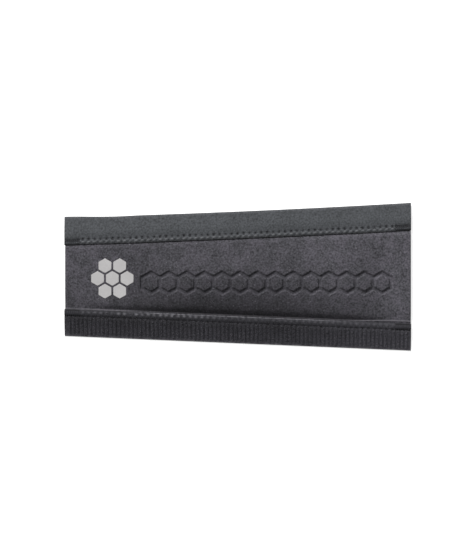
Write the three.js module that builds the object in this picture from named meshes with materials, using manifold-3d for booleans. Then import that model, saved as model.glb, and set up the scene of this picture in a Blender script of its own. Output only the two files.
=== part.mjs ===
// Chainstay protector: a tapered neoprene panel with a loop tape along one long edge and a hook
// tape along the other, lying as it comes to rest with its outer face up.
// Millimetres. X runs from the narrow end to the wide end, Y across from the hook edge to the
// loop edge, and z = 0 is the surface that the protector lies on.

import * as THREE from 'three';
import { mergeVertices } from 'three/addons/utils/BufferGeometryUtils.js';
import Module from 'manifold-3d';

// Outline
const LENGTH = 250;
const NARROW_END_WIDTH = 85.6;
const WIDE_END_WIDTH = 106.8;
const LOOP_EDGE_BOW = 1.0;

// Neoprene panel: a foam laminate, pressed thin under the tapes
const PANEL_THICKNESS = 3.0;
const PRESSED_THICKNESS = 1.2;
const PANEL_END_INSET = 0.6;
const LAP_WIDTH = 6.5;
const SHOULDER_WIDTH = 4.0;

// Arch: the low wave in which the panel lies between its seams
const ARCH_HEIGHT = 3.8;
const ARCH_CREST_SHARE = 0.38;
const ARCH_RUN_IN = 42;
const ARCH_FLAT_WIDE_END = 13;

// Tapes
const LOOP_TAPE_WIDTH = 19.5;
const LOOP_TAPE_THICKNESS = 1.6;
const HOOK_TAPE_WIDTH = 19.5;
const HOOK_BACKING_THICKNESS = 0.6;
const HOOK_HEIGHT = 1.1;
const HOOK_ROW_PITCH = 3.0;
const HOOK_ROW_WIDTH = 1.5;
const HOOK_SELVEDGE = 2.2;
const TAPE_DROP_WIDTH = 3.2;

// Seams: a zigzag lockstitch along the inner edge of each tape
const ZIGZAG_WIDTH = 4.0;
const ZIGZAG_PITCH = 4.3;
const SEAM_SETBACK = 0.5;
const THREAD_WIDTH = 0.45;
const THREAD_HEIGHT = 0.35;
const BACKTACK_LENGTH = 11;
const BACKTACK_GAP = 0.3;
const SEAM_END_MARGIN = 0.8;

// Debossed honeycomb strip and reflective hexagons
const CELL_PITCH = 12.8;
const GROOVE_WIDTH = 2.4;
const GROOVE_DEPTH = 0.5;
const MOTIF_DROP = 4.5;
const MOTIF_GAP = 5;
const STRIP_END_MARGIN = 12;
const FILM_HEXAGON_WIDTH = 9.2;
const FILM_HEXAGON_GAP = 1.4;
const FILM_THICKNESS = 0.15;
const FILM_END_MARGIN = 19.5;
const FILM_DROP = 1.2;

// Clearances
const TAPE_EDGE_CLEARANCE = 0.3;
const CUT_EDGE_CLEARANCE = 0.3;
const BOBBIN_FLOOR_CLEARANCE = 0.25;
const BOBBIN_SIDE_CLEARANCE = 0.8;
const HOOK_TO_SEAM_GAP = 0.5;

// Heights of the lapped layers
const VALLEY_HEIGHT = THREAD_HEIGHT + BOBBIN_FLOOR_CLEARANCE;
const LAP_HEIGHT = VALLEY_HEIGHT + PRESSED_THICKNESS;

// Steps of the meshes
const ARCH_STEPS = 14;
const ACROSS_STEPS = 8;
const TAPE_STEPS = 12;
const SHOULDER_SHARES = [0.25, 0.55, 1];
const DROP_SHARES = [0, 0.35, 0.65, 1];
const BACKTACK_FLAT_SHARE = 0.4;

const wasm = await Module();
wasm.setup();

// Outline of the protector at a place along its length
const halfLength = LENGTH / 2;

function halfWidth(x) {
  const share = x / LENGTH + 0.5;
  return THREE.MathUtils.lerp(NARROW_END_WIDTH, WIDE_END_WIDTH, share) / 2;
}

function loopEdge(x) {
  const share = x / halfLength;
  return halfWidth(x) - LOOP_EDGE_BOW * (1 - share * share);
}

function hookEdge(x) {
  return -halfWidth(x);
}

// A side of the protector: its outer edge, the way in from that edge, and its tape's width
const loopSide = { edge: loopEdge, inward: -1, tapeWidth: LOOP_TAPE_WIDTH };
const hookSide = { edge: hookEdge, inward: 1, tapeWidth: HOOK_TAPE_WIDTH };

function acrossFrom(side, x, distance) {
  return side.edge(x) + side.inward * distance;
}

function cutEdgeDistance(side) {
  return side.tapeWidth - LAP_WIDTH;
}

function shoulderFootDistance(side) {
  return side.tapeWidth + TAPE_EDGE_CLEARANCE;
}

function seamDistances(side) {
  const inner = side.tapeWidth - SEAM_SETBACK;
  return { inner, outer: inner - ZIGZAG_WIDTH };
}

// Places of the two motifs along the panel
const filmPitch = FILM_HEXAGON_WIDTH + FILM_HEXAGON_GAP;
const filmGroupWidth = 2 * filmPitch + FILM_HEXAGON_WIDTH;
const filmCentreX = -halfLength + FILM_END_MARGIN + filmGroupWidth / 2;
const filmRightX = filmCentreX + filmGroupWidth / 2;
const stripLeftX = filmRightX + MOTIF_GAP;
const stripRoom = halfLength - STRIP_END_MARGIN - stripLeftX - GROOVE_WIDTH;
const cellCount = Math.max(1, Math.floor(stripRoom / CELL_PITCH));

// The arch starts just past the reflective hexagons, which lie on flat material
const archStartX = filmRightX + MOTIF_GAP / 2;
const archEndX = halfLength - ARCH_FLAT_WIDE_END;

function archAmount(x) {
  const rise = THREE.MathUtils.smoothstep(x, archStartX, archStartX + ARCH_RUN_IN);
  const fall = THREE.MathUtils.smoothstep(-x, -archEndX, -archEndX + ARCH_RUN_IN);
  return ARCH_HEIGHT * rise * fall;
}

// Height of the arch, which leans towards the hook seam
function archHeight(x, y) {
  const low = acrossFrom(hookSide, x, shoulderFootDistance(hookSide));
  const high = acrossFrom(loopSide, x, shoulderFootDistance(loopSide));
  const share = THREE.MathUtils.clamp((y - low) / (high - low), 0, 1);
  const power = Math.log(0.5) / Math.log(ARCH_CREST_SHARE);
  return archAmount(x) * Math.sin(Math.PI * share ** power);
}

// A closed sheet over a grid of points {x, y, low, high}, with rows along X and columns along Y
function sheetGeometry(rows) {
  const columns = rows[0].length;
  const last = rows.length - 1;
  const positions = [];
  for (const row of rows) {
    for (const point of row) {
      positions.push(point.x, point.y, point.low, point.x, point.y, point.high);
    }
  }
  const low = (i, j) => 2 * (i * columns + j);
  const high = (i, j) => low(i, j) + 1;
  const index = [];
  const quad = (a, b, c, d) => index.push(a, b, c, a, c, d);
  for (let i = 0; i < last; i += 1) {
    for (let j = 0; j < columns - 1; j += 1) {
      quad(high(i, j), high(i + 1, j), high(i + 1, j + 1), high(i, j + 1));
      quad(low(i, j), low(i, j + 1), low(i + 1, j + 1), low(i + 1, j));
    }
    quad(low(i, 0), low(i + 1, 0), high(i + 1, 0), high(i, 0));
    const end = columns - 1;
    quad(high(i, end), high(i + 1, end), low(i + 1, end), low(i, end));
  }
  for (let j = 0; j < columns - 1; j += 1) {
    quad(low(0, j + 1), low(0, j), high(0, j), high(0, j + 1));
    quad(low(last, j), low(last, j + 1), high(last, j + 1), high(last, j));
  }
  const geometry = new THREE.BufferGeometry();
  geometry.setAttribute('position', new THREE.Float32BufferAttribute(positions, 3));
  geometry.setIndex(index);
  return geometry;
}

// A geometry as a solid that can be joined and cut
function toSolid(geometry) {
  const bare = geometry.clone();
  bare.deleteAttribute('normal');
  bare.deleteAttribute('uv');
  const merged = mergeVertices(bare);
  const vertProperties = new Float32Array(merged.attributes.position.array);
  const triVerts = new Uint32Array(merged.index.array);
  return new wasm.Manifold(new wasm.Mesh({ numProp: 3, vertProperties, triVerts }));
}

function toGeometry(solid) {
  const mesh = solid.getMesh();
  const geometry = new THREE.BufferGeometry();
  geometry.setAttribute('position', new THREE.Float32BufferAttribute(mesh.vertProperties, 3));
  geometry.setIndex(Array.from(mesh.triVerts));
  geometry.computeVertexNormals();
  return geometry;
}

function evenSteps(from, to, steps) {
  return Array.from({ length: steps + 1 }, (_, i) => from + ((to - from) * i) / steps);
}

// Rows of the panel near one side, from its cut edge to the top of its shoulder
function sideStations(side) {
  const seam = seamDistances(side);
  const foot = shoulderFootDistance(side);
  const valleyEdge = seam.outer - BOBBIN_SIDE_CLEARANCE;
  const cutEdge = cutEdgeDistance(side);
  const stations = [
    { distance: cutEdge, low: 0, high: LAP_HEIGHT },
    { distance: (cutEdge + valleyEdge) / 2, low: 0, high: LAP_HEIGHT },
    { distance: valleyEdge, low: VALLEY_HEIGHT, high: LAP_HEIGHT },
    { distance: foot, low: VALLEY_HEIGHT, high: LAP_HEIGHT },
  ];
  for (const share of SHOULDER_SHARES) {
    const rise = Math.sin((share * Math.PI) / 2);
    stations.push({
      distance: foot + SHOULDER_WIDTH * share,
      low: 0,
      high: THREE.MathUtils.lerp(LAP_HEIGHT, PANEL_THICKNESS, rise),
    });
  }
  return stations;
}

// One row of the panel's grid, from the hook side to the loop side
function panelRow(x) {
  const place = (side) => (station) => ({
    y: acrossFrom(side, x, station.distance),
    low: station.low,
    high: station.high,
  });
  const hookPoints = sideStations(hookSide).map(place(hookSide));
  const loopPoints = sideStations(loopSide).map(place(loopSide)).reverse();
  const from = hookPoints.at(-1).y;
  const to = loopPoints[0].y;
  const middle = evenSteps(from, to, ACROSS_STEPS).slice(1, -1);
  const flat = middle.map((y) => ({ y, low: 0, high: PANEL_THICKNESS }));
  return [...hookPoints, ...flat, ...loopPoints].map((point) => {
    const arch = archHeight(x, point.y);
    return { x, y: point.y, low: point.low + arch, high: point.high + arch };
  });
}

function panelRows() {
  const start = -halfLength + PANEL_END_INSET;
  const end = halfLength - PANEL_END_INSET;
  const flat = evenSteps(start, archStartX, 2);
  const arched = evenSteps(archStartX, archEndX, ARCH_STEPS).slice(1);
  return [...flat, ...arched, end].map(panelRow);
}

// A hexagon with two upright sides, as a list of corners
function hexagonCorners(centreX, centreY, width) {
  const radius = width / Math.sqrt(3);
  return evenSteps(0, 300, 5).map((degrees) => {
    const angle = THREE.MathUtils.degToRad(degrees + 30);
    return new THREE.Vector2(
      centreX + radius * Math.cos(angle),
      centreY + radius * Math.sin(angle),
    );
  });
}

// Outline of a row of hexagons that share their upright walls
function honeycombOutline() {
  const width = CELL_PITCH + GROOVE_WIDTH;
  const radius = width / Math.sqrt(3);
  const notch = radius - (radius / 2) * (CELL_PITCH / width);
  const firstX = stripLeftX + width / 2;
  const lastX = firstX + (cellCount - 1) * CELL_PITCH;
  const upper = [];
  for (let i = 0; i < cellCount; i += 1) {
    const x = firstX + i * CELL_PITCH;
    upper.push([x, radius]);
    if (i < cellCount - 1) {
      upper.push([x + CELL_PITCH / 2, notch]);
    }
  }
  const left = [firstX - width / 2, radius / 2];
  const right = [lastX + width / 2, radius / 2];
  const top = [left, ...upper, right];
  const bottom = top.map(([x, y]) => [x, -y]).reverse();
  return [...top, ...bottom].map(([x, y]) => new THREE.Vector2(x, y - MOTIF_DROP));
}

// The debossed strip: its plan, kept to the depth of the grooves under the panel's outer face
function honeycombCutter(rows) {
  const plan = new THREE.Shape(honeycombOutline());
  const firstX = stripLeftX + (CELL_PITCH + GROOVE_WIDTH) / 2;
  for (let i = 0; i < cellCount; i += 1) {
    const x = firstX + i * CELL_PITCH;
    const corners = hexagonCorners(x, -MOTIF_DROP, CELL_PITCH - GROOVE_WIDTH);
    plan.holes.push(new THREE.Path(corners));
  }
  const headroom = PANEL_THICKNESS + ARCH_HEIGHT;
  const prism = new THREE.ExtrudeGeometry(plan, { depth: 2 * headroom, bevelEnabled: false });
  const overFace = rows.map((row) => row.map(({ x, y, high }) => ({
    x,
    y,
    low: high - GROOVE_DEPTH,
    high: high + headroom,
  })));
  return toSolid(prism).intersect(toSolid(sheetGeometry(overFace)));
}

function neoprenePanel() {
  const rows = panelRows();
  const sheet = toSolid(sheetGeometry(rows));
  return toGeometry(sheet.subtract(honeycombCutter(rows)));
}

// Height of a tape's underside: on the table by its outer edge, on the panel over the lap
function tapeStations(side, thickness) {
  const lapDistance = cutEdgeDistance(side) - CUT_EDGE_CLEARANCE;
  const stations = [{ distance: 0, low: 0 }];
  for (const share of DROP_SHARES) {
    stations.push({
      distance: lapDistance - TAPE_DROP_WIDTH * (1 - share),
      low: LAP_HEIGHT * THREE.MathUtils.smoothstep(share, 0, 1),
    });
  }
  stations.push({ distance: side.tapeWidth, low: LAP_HEIGHT });
  return stations.map((station) => ({ ...station, high: station.low + thickness }));
}

function tapeRow(side, stations, x) {
  const row = stations.map(({ distance, low, high }) => ({
    x,
    y: acrossFrom(side, x, distance),
    low,
    high,
  }));
  return side.inward > 0 ? row : row.reverse();
}

function loopTape() {
  const stations = tapeStations(loopSide, LOOP_TAPE_THICKNESS);
  const xs = evenSteps(-halfLength, halfLength, TAPE_STEPS);
  return sheetGeometry(xs.map((x) => tapeRow(loopSide, stations, x)));
}

// Stations of one row of hooks: it follows the backing between the selvedge and the seam
function hookRowStations(backing) {
  const from = HOOK_SELVEDGE;
  const to = seamDistances(hookSide).outer - HOOK_TO_SEAM_GAP;
  const topAt = (distance) => {
    const next = backing.findIndex((station) => station.distance >= distance);
    const before = backing[Math.max(next - 1, 0)];
    const after = backing[next];
    const share = (distance - before.distance) / (after.distance - before.distance || 1);
    return THREE.MathUtils.lerp(before.high, after.high, share);
  };
  const between = backing.map(({ distance }) => distance).filter((d) => d > from && d < to);
  return [from, ...between, to].map((distance) => ({
    distance,
    low: topAt(distance) - HOOK_BACKING_THICKNESS / 2,
    high: topAt(distance) + HOOK_HEIGHT,
  }));
}

function hookTape() {
  const backing = tapeStations(hookSide, HOOK_BACKING_THICKNESS);
  const stations = hookRowStations(backing);
  const ends = [-halfLength, halfLength];
  let solid = toSolid(sheetGeometry(ends.map((x) => tapeRow(hookSide, backing, x))));
  const rowCount = Math.floor((LENGTH - HOOK_ROW_PITCH) / HOOK_ROW_PITCH);
  for (let i = 0; i < rowCount; i += 1) {
    const centre = (i - (rowCount - 1) / 2) * HOOK_ROW_PITCH;
    const sides = [centre - HOOK_ROW_WIDTH / 2, centre + HOOK_ROW_WIDTH / 2];
    const row = sheetGeometry(sides.map((x) => tapeRow(hookSide, stations, x)));
    solid = solid.add(toSolid(row));
  }
  return toGeometry(solid);
}

// Path of a zigzag seam as pairs of a place along X and a share across the zigzag
function zigzagPath(withBacktacks) {
  const start = -halfLength + SEAM_END_MARGIN;
  const end = halfLength - SEAM_END_MARGIN;
  const tackPitch = 2 * (THREAD_WIDTH + BACKTACK_GAP);
  const tackRepeats = withBacktacks ? Math.round(BACKTACK_LENGTH / tackPitch) : 0;
  const flat = BACKTACK_FLAT_SHARE * tackPitch;
  const path = [];
  for (let i = 0; i < tackRepeats; i += 1) {
    const x = start + i * tackPitch;
    const back = x + tackPitch / 2;
    path.push([x, 0], [x + flat, 0], [back, 1], [back + flat, 1]);
  }
  const from = start + tackRepeats * tackPitch;
  const mirrored = path.map(([x, share]) => [start + end - x, share]).reverse();
  const legCount = 2 * Math.round((end - start - 2 * (from - start)) / ZIGZAG_PITCH);
  evenSteps(from, start + end - from, legCount).forEach((x, i) => path.push([x, i % 2]));
  return [...path, ...mirrored];
}

// Outline of a thread laid along a path, with mitred corners
function threadOutline(points) {
  const directions = points.slice(1).map((point, i) => point.clone().sub(points[i]).normalize());
  const corner = (i, hand) => {
    const before = directions[Math.max(i - 1, 0)];
    const after = directions[Math.min(i, directions.length - 1)];
    const normal = new THREE.Vector2(-before.y - after.y, before.x + after.x).normalize();
    const reach = THREE.MathUtils.clamp(-before.y * normal.x + before.x * normal.y, 0.3, 1);
    return points[i].clone().addScaledVector(normal, (hand * THREAD_WIDTH) / 2 / reach);
  };
  const right = points.map((_, i) => corner(i, -1));
  const left = points.map((_, i) => corner(i, 1)).reverse();
  return [...right, ...left];
}

// A seam's thread: it lies flat with its underside at the given height
function seamThread(side, underside, withBacktacks) {
  const seam = seamDistances(side);
  const points = zigzagPath(withBacktacks).map(([x, share]) => {
    const distance = THREE.MathUtils.lerp(seam.inner, seam.outer, share);
    return new THREE.Vector2(x, acrossFrom(side, x, distance));
  });
  const outline = new THREE.Shape(threadOutline(points));
  const geometry = new THREE.ExtrudeGeometry(outline, {
    depth: THREAD_HEIGHT,
    bevelEnabled: false,
  });
  return geometry.translate(0, 0, underside);
}

// One piece of reflective film on the panel's outer face
function filmHexagon(x, y) {
  const outline = new THREE.Shape(hexagonCorners(x, y, FILM_HEXAGON_WIDTH));
  const geometry = new THREE.ExtrudeGeometry(outline, {
    depth: FILM_THICKNESS,
    bevelEnabled: false,
  });
  return geometry.translate(0, 0, PANEL_THICKNESS);
}

function filmCentres() {
  const around = evenSteps(0, 300, 5).map((degrees) => {
    const angle = THREE.MathUtils.degToRad(degrees);
    return [filmPitch * Math.cos(angle), filmPitch * Math.sin(angle)];
  });
  return [[0, 0], ...around].map(([x, y]) => [filmCentreX + x, y - FILM_DROP]);
}

// Materials
function jerseyMaterial() {
  return new THREE.MeshStandardMaterial({ color: 0x504f54, roughness: 0.9, metalness: 0 });
}

function loopTapeMaterial() {
  return new THREE.MeshStandardMaterial({ color: 0x525456, roughness: 0.85, metalness: 0 });
}

function hookTapeMaterial() {
  return new THREE.MeshStandardMaterial({ color: 0x303034, roughness: 0.6, metalness: 0 });
}

function threadMaterial() {
  return new THREE.MeshStandardMaterial({ color: 0x1c1c1f, roughness: 0.7, metalness: 0 });
}

function reflectiveFilmMaterial() {
  return new THREE.MeshStandardMaterial({ color: 0xafadad, roughness: 0.45, metalness: 0.1 });
}

function namedMesh(name, geometry, material) {
  const mesh = new THREE.Mesh(geometry, material);
  mesh.name = name;
  return mesh;
}

function seamMeshes() {
  const loopTop = LAP_HEIGHT + LOOP_TAPE_THICKNESS;
  const hookTop = LAP_HEIGHT + HOOK_BACKING_THICKNESS;
  const bobbin = VALLEY_HEIGHT - THREAD_HEIGHT;
  const seams = [
    ['loop_seam_needle_thread', loopSide, loopTop, true],
    ['loop_seam_bobbin_thread', loopSide, bobbin, false],
    ['hook_seam_needle_thread', hookSide, hookTop, true],
    ['hook_seam_bobbin_thread', hookSide, bobbin, false],
  ];
  return seams.map(([name, side, underside, withBacktacks]) => (
    namedMesh(name, seamThread(side, underside, withBacktacks), threadMaterial())
  ));
}

function filmMeshes() {
  return filmCentres().map(([x, y], i) => (
    namedMesh(`reflective_hexagon_${i + 1}`, filmHexagon(x, y), reflectiveFilmMaterial())
  ));
}

const protector = new THREE.Group();
protector.add(
  namedMesh('neoprene_panel', neoprenePanel(), jerseyMaterial()),
  namedMesh('loop_tape', loopTape(), loopTapeMaterial()),
  namedMesh('hook_tape', hookTape(), hookTapeMaterial()),
  ...seamMeshes(),
  ...filmMeshes(),
);

export default protector;
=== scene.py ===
"""A chainstay protector lying flat with its outer face up, seen from straight above.

A tapered panel of neoprene foam with a knitted jersey on both faces has a loop tape sewn along
one long edge and a hook tape along the other. X runs from the narrow end to the wide end, Y from
the hook edge to the loop edge, and the protector lies on z = 0. All lengths are in metres.
"""

import logging
import math
from dataclasses import dataclass, field
from enum import Enum

import bmesh
import bpy
import numpy as np
from bpy.types import Material, Mesh, Node, NodeSocket, NodeTree, Object
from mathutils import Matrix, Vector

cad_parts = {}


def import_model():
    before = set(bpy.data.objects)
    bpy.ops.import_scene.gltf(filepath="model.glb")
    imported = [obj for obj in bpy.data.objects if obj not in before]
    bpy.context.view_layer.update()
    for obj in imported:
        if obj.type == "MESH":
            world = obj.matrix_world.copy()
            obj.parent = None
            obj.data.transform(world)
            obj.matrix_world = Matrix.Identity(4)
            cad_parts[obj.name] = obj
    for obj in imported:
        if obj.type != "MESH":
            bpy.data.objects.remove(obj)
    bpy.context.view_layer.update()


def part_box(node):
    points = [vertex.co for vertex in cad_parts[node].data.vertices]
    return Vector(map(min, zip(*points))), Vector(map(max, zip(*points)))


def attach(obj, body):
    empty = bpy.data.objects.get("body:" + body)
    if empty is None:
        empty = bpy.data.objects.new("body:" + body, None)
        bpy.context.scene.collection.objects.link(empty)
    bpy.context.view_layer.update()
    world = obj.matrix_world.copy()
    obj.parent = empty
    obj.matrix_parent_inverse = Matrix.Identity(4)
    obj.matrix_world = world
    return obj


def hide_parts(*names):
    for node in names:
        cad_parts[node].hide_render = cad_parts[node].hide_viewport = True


MM = 0.001
SHARP_ANGLE = 40.0  # degrees above which an edge is shaded sharp
Colour = tuple[float, float, float, float]
Array = np.ndarray

log = logging.getLogger("chainstay_protector")


class LongEdge(Enum):
    """The two long edges, by the tape that is sewn there. The value is the way in from the edge along Y."""

    LOOP = -1
    HOOK = 1


class ThreadSide(Enum):
    """The face that a seam's thread shows on."""

    NEEDLE = "needle"
    BOBBIN = "bobbin"


def smoothstep(value: Array, low: float, high: float) -> Array:
    """Rises smoothly from 0 at low to 1 at high."""
    share = np.clip((value - low) / (high - low), 0.0, 1.0)
    return share * share * (3.0 - 2.0 * share)


def hump(value: Array, centre: float, reach: float) -> Array:
    """Gives a soft hump: 1 at the centre, falling off over the reach to both sides."""
    return np.exp(-(((value - centre) / reach) ** 2))


@dataclass(frozen=True)
class Ramp:
    """An amount that comes in smoothly from one place to another, which may be the lower one."""

    start: float
    end: float
    amount: float = 1.0

    def at(self, place: Array) -> Array:
        """Finds how much of the amount each place has."""
        return self.amount * smoothstep(place, self.start, self.end)


Ramps = tuple[Ramp, ...]


def total(ramps: Ramps, place: Array) -> Array:
    """Adds up what several ramps give each place."""
    return sum(ramp.at(place) for ramp in ramps)


def linear_colour(red: int, green: int, blue: int) -> Colour:
    """Turns a colour of 0 to 255 steps into the linear colour that the shaders take.

    Args:
        red: The red step.
        green: The green step.
        blue: The blue step.

    Returns:
        Linear red, green and blue, and a full alpha.
    """
    steps = [channel / 255 for channel in (red, green, blue)]
    linear = [s / 12.92 if s <= 0.04045 else ((s + 0.055) / 1.055) ** 2.4 for s in steps]
    return (*linear, 1.0)


# Layout of the protector


@dataclass(frozen=True)
class Outline:
    """The tapered outline, with a loop edge that bows in a little at mid-length."""

    length: float
    wide_end_width: float
    narrow_end_width: float = 85.6 * MM
    loop_edge_bow: float = 1.0 * MM

    @classmethod
    def from_frame(cls) -> "Outline":
        """Reads the length and the wide end's width from the frame's tapes."""
        low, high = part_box("loop_tape")
        hook_low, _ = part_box("hook_tape")
        return cls(length=high[0] - low[0], wide_end_width=high[1] - hook_low[1])

    @property
    def half_length(self) -> float:
        """Half of the length."""
        return self.length / 2

    @property
    def half_width_at_middle(self) -> float:
        """Half of the width at mid-length, before the bow."""
        return (self.narrow_end_width + self.wide_end_width) / 4

    @property
    def edge_slope(self) -> float:
        """How fast each long edge runs outward along X."""
        return (self.wide_end_width - self.narrow_end_width) / (2 * self.length)

    def edge(self, side: LongEdge, x: Array) -> Array:
        """Finds a long edge's place across the protector.

        Args:
            side: The long edge.
            x: Places along the protector.

        Returns:
            The edge's Y at each place.
        """
        half_width = self.half_width_at_middle + self.edge_slope * x
        if side is LongEdge.HOOK:
            return -half_width
        return half_width - self.loop_edge_bow * (1 - (x / self.half_length) ** 2)

    def across(self, side: LongEdge, x: Array, distance: Array) -> Array:
        """Finds the Y of what lies some distance in from a long edge."""
        return self.edge(side, x) + side.value * distance


@dataclass(frozen=True)
class Lap:
    """How a tape is lapped over the pressed edge of the panel and drops to the table beyond it."""

    tape_width: float = 19.5 * MM
    lap_width: float = 6.5 * MM
    free_slope: float = 0.156
    bend: float = 0.4 * MM
    cut_edge_clearance: float = 0.3 * MM
    tape_edge_clearance: float = 0.3 * MM
    valley_height: float = 0.6 * MM
    pressed_thickness: float = 1.2 * MM
    lip_room: float = 1.1 * MM
    # The panel's lip beside the hook tape: where it shows, and how far it stands away from the tape.
    lip_shown: Ramps = (Ramp(-54 * MM, -84 * MM), Ramp(60 * MM, 92 * MM))
    lip_away: Ramps = (Ramp(-70 * MM, -104 * MM, 0.15 * MM), Ramp(75 * MM, 115 * MM, 1.4 * MM))
    lip_gap: float = 0.38 * MM
    lip_closing: Ramp = Ramp(-40 * MM, -70 * MM, 0.2 * MM)

    @property
    def height(self) -> float:
        """Height of the pressed panel's outer face, on which the tape lies."""
        return self.valley_height + self.pressed_thickness

    @property
    def cut_edge(self) -> float:
        """Distance of the panel's cut edge in from the tape's outer edge."""
        return self.tape_width - self.lap_width

    @property
    def free_width(self) -> float:
        """Width of the tape that reaches past the panel."""
        return self.cut_edge - self.cut_edge_clearance

    @property
    def shoulder_foot(self) -> float:
        """Distance at which the panel starts to rise beside the tape."""
        return self.tape_width + self.tape_edge_clearance

    def parting(self, x: Array) -> tuple[Array, Array]:
        """Finds how the panel's lip stands away from the hook tape towards both ends."""
        shown = np.maximum(*(ramp.at(x) for ramp in self.lip_shown))
        return shown, np.maximum(total(self.lip_away, x), self.lip_gap - self.lip_closing.at(x))

    def tape_rise(self, distance: Array) -> Array:
        """Height of a tape's underside over the table: it slopes straight up to the lap.

        Args:
            distance: Distances in from the tape's outer edge.

        Returns:
            The heights.
        """
        sloping = self.free_slope * distance
        # The bend is the smooth minimum of a Math node, as in the group that lays strands on a tape.
        near = np.clip(self.bend - np.abs(sloping - self.height), 0, None) / self.bend
        return np.minimum(sloping, self.height) - near**3 * self.bend / 6


@dataclass(frozen=True)
class Seam:
    """A zigzag lockstitch along a tape's inner edge, sewn back and forth at both ends."""

    outline: Outline
    lap: Lap
    width: float = 4.0 * MM
    pitch: float = 4.3 * MM
    setback: float = 0.5 * MM
    end_margin: float = 0.8 * MM
    tack_length: float = 11.0 * MM
    tack_pitch: float = 1.5 * MM
    tack_blend: float = 0.6 * MM
    leg_reach: float = 0.34 * MM
    hole_reach: float = 0.72 * MM
    tack_hole_share: float = 1.3
    hole_unevenness: float = 0.2
    hole_rhythm: float = 2.4
    pillow_inset: float = 1.0 * MM
    pillow_length: float = 1.25 * MM
    pillow_width: float = 0.95 * MM
    pillow_unevenness: float = 0.15
    pillow_rhythm: float = 1.7

    @property
    def inner(self) -> float:
        """Distance of the inner needle holes in from the tape's outer edge."""
        return self.lap.tape_width - self.setback

    @property
    def outer(self) -> float:
        """Distance of the outer needle holes in from the tape's outer edge."""
        return self.inner - self.width

    def runs(self) -> list[tuple[float, float, int]]:
        """Lists the stretches of the seam: a backtack, the plain zigzag and the other backtack.

        Returns:
            The start, the length of one leg along X and the number of legs of each stretch.
        """
        start = -self.outline.half_length + self.end_margin
        tack_legs = 2 * round(self.tack_length / self.tack_pitch)
        tack_leg = self.tack_pitch / 2
        plain_start = start + tack_legs * tack_leg
        plain_length = -2 * plain_start
        plain_legs = 2 * round(plain_length / self.pitch)
        return [
            (start, tack_leg, tack_legs),
            (plain_start, plain_length / plain_legs, plain_legs),
            (-plain_start, tack_leg, tack_legs),
        ]

    def press(self, x: Array, distance: Array) -> tuple[Array, Array]:
        """Works out how far the stitches draw the cloth down.

        Args:
            x: Places along the protector.
            distance: Distances in from the tape's outer edge.

        Returns:
            How strongly each place is pressed by a leg, and by a needle hole, from 0 to 1.
        """
        leg_press = np.zeros_like(x)
        hole_press = np.zeros_like(x)
        for start, leg, count in self.runs():
            angle = math.atan2(self.width, leg)
            hole_reach = self.hole_reach * (1.0 if leg > self.tack_pitch else self.tack_hole_share)
            inside = (distance > self.outer - self.leg_reach) & (distance < self.inner + self.leg_reach)
            reached = (x > start - leg) & (x < start + (count + 1) * leg)
            for offset in (-1, 0, 1):
                hole = np.clip(np.round((x - start) / leg) + offset, 0, count)
                hole_distance = np.where(hole % 2 == 0, self.inner, self.outer)
                strength = 1 - self.hole_unevenness * (1 - np.sin(self.hole_rhythm * hole))
                near = hump(x, start + hole * leg, hole_reach) * hump(distance, hole_distance, hole_reach)
                hole_press = np.maximum(hole_press, strength * near)
                first = np.clip(np.floor((x - start) / leg) + offset, 0, count - 1)
                rising = np.where(first % 2 == 0, -1.0, 1.0)
                from_distance = np.where(first % 2 == 0, self.inner, self.outer)
                along = x - start - first * leg
                off = (distance - from_distance) * math.cos(angle) - rising * along * math.sin(angle)
                leg_press = np.maximum(leg_press, hump(off, 0.0, self.leg_reach) * inside * reached)
        return leg_press, hole_press

    def pillows(self, x: Array, distance: Array) -> Array:
        """Works out where the cloth swells between two legs, inward of each outer hole.

        Args:
            x: Places along the protector.
            distance: Distances in from the tape's outer edge.

        Returns:
            How strongly each place swells, from 0 to 1.
        """
        start, leg, count = self.runs()[1]
        odd = np.clip(2 * np.floor((x - start) / (2 * leg)) + 1, 1, count - 1)
        evenness = 1 - self.pillow_unevenness * (1 - np.sin(self.pillow_rhythm * odd))
        across = hump(distance, self.inner - self.pillow_inset, self.pillow_width)
        return evenness * hump(x, start + odd * leg, self.pillow_length) * across

    def tacked(self, x: Array) -> Array:
        """Works out where the seam is sewn back and forth."""
        plain_end = -self.runs()[1][0]
        return smoothstep(np.abs(x), plain_end - self.tack_blend, plain_end + self.tack_blend)


# Node trees


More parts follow.
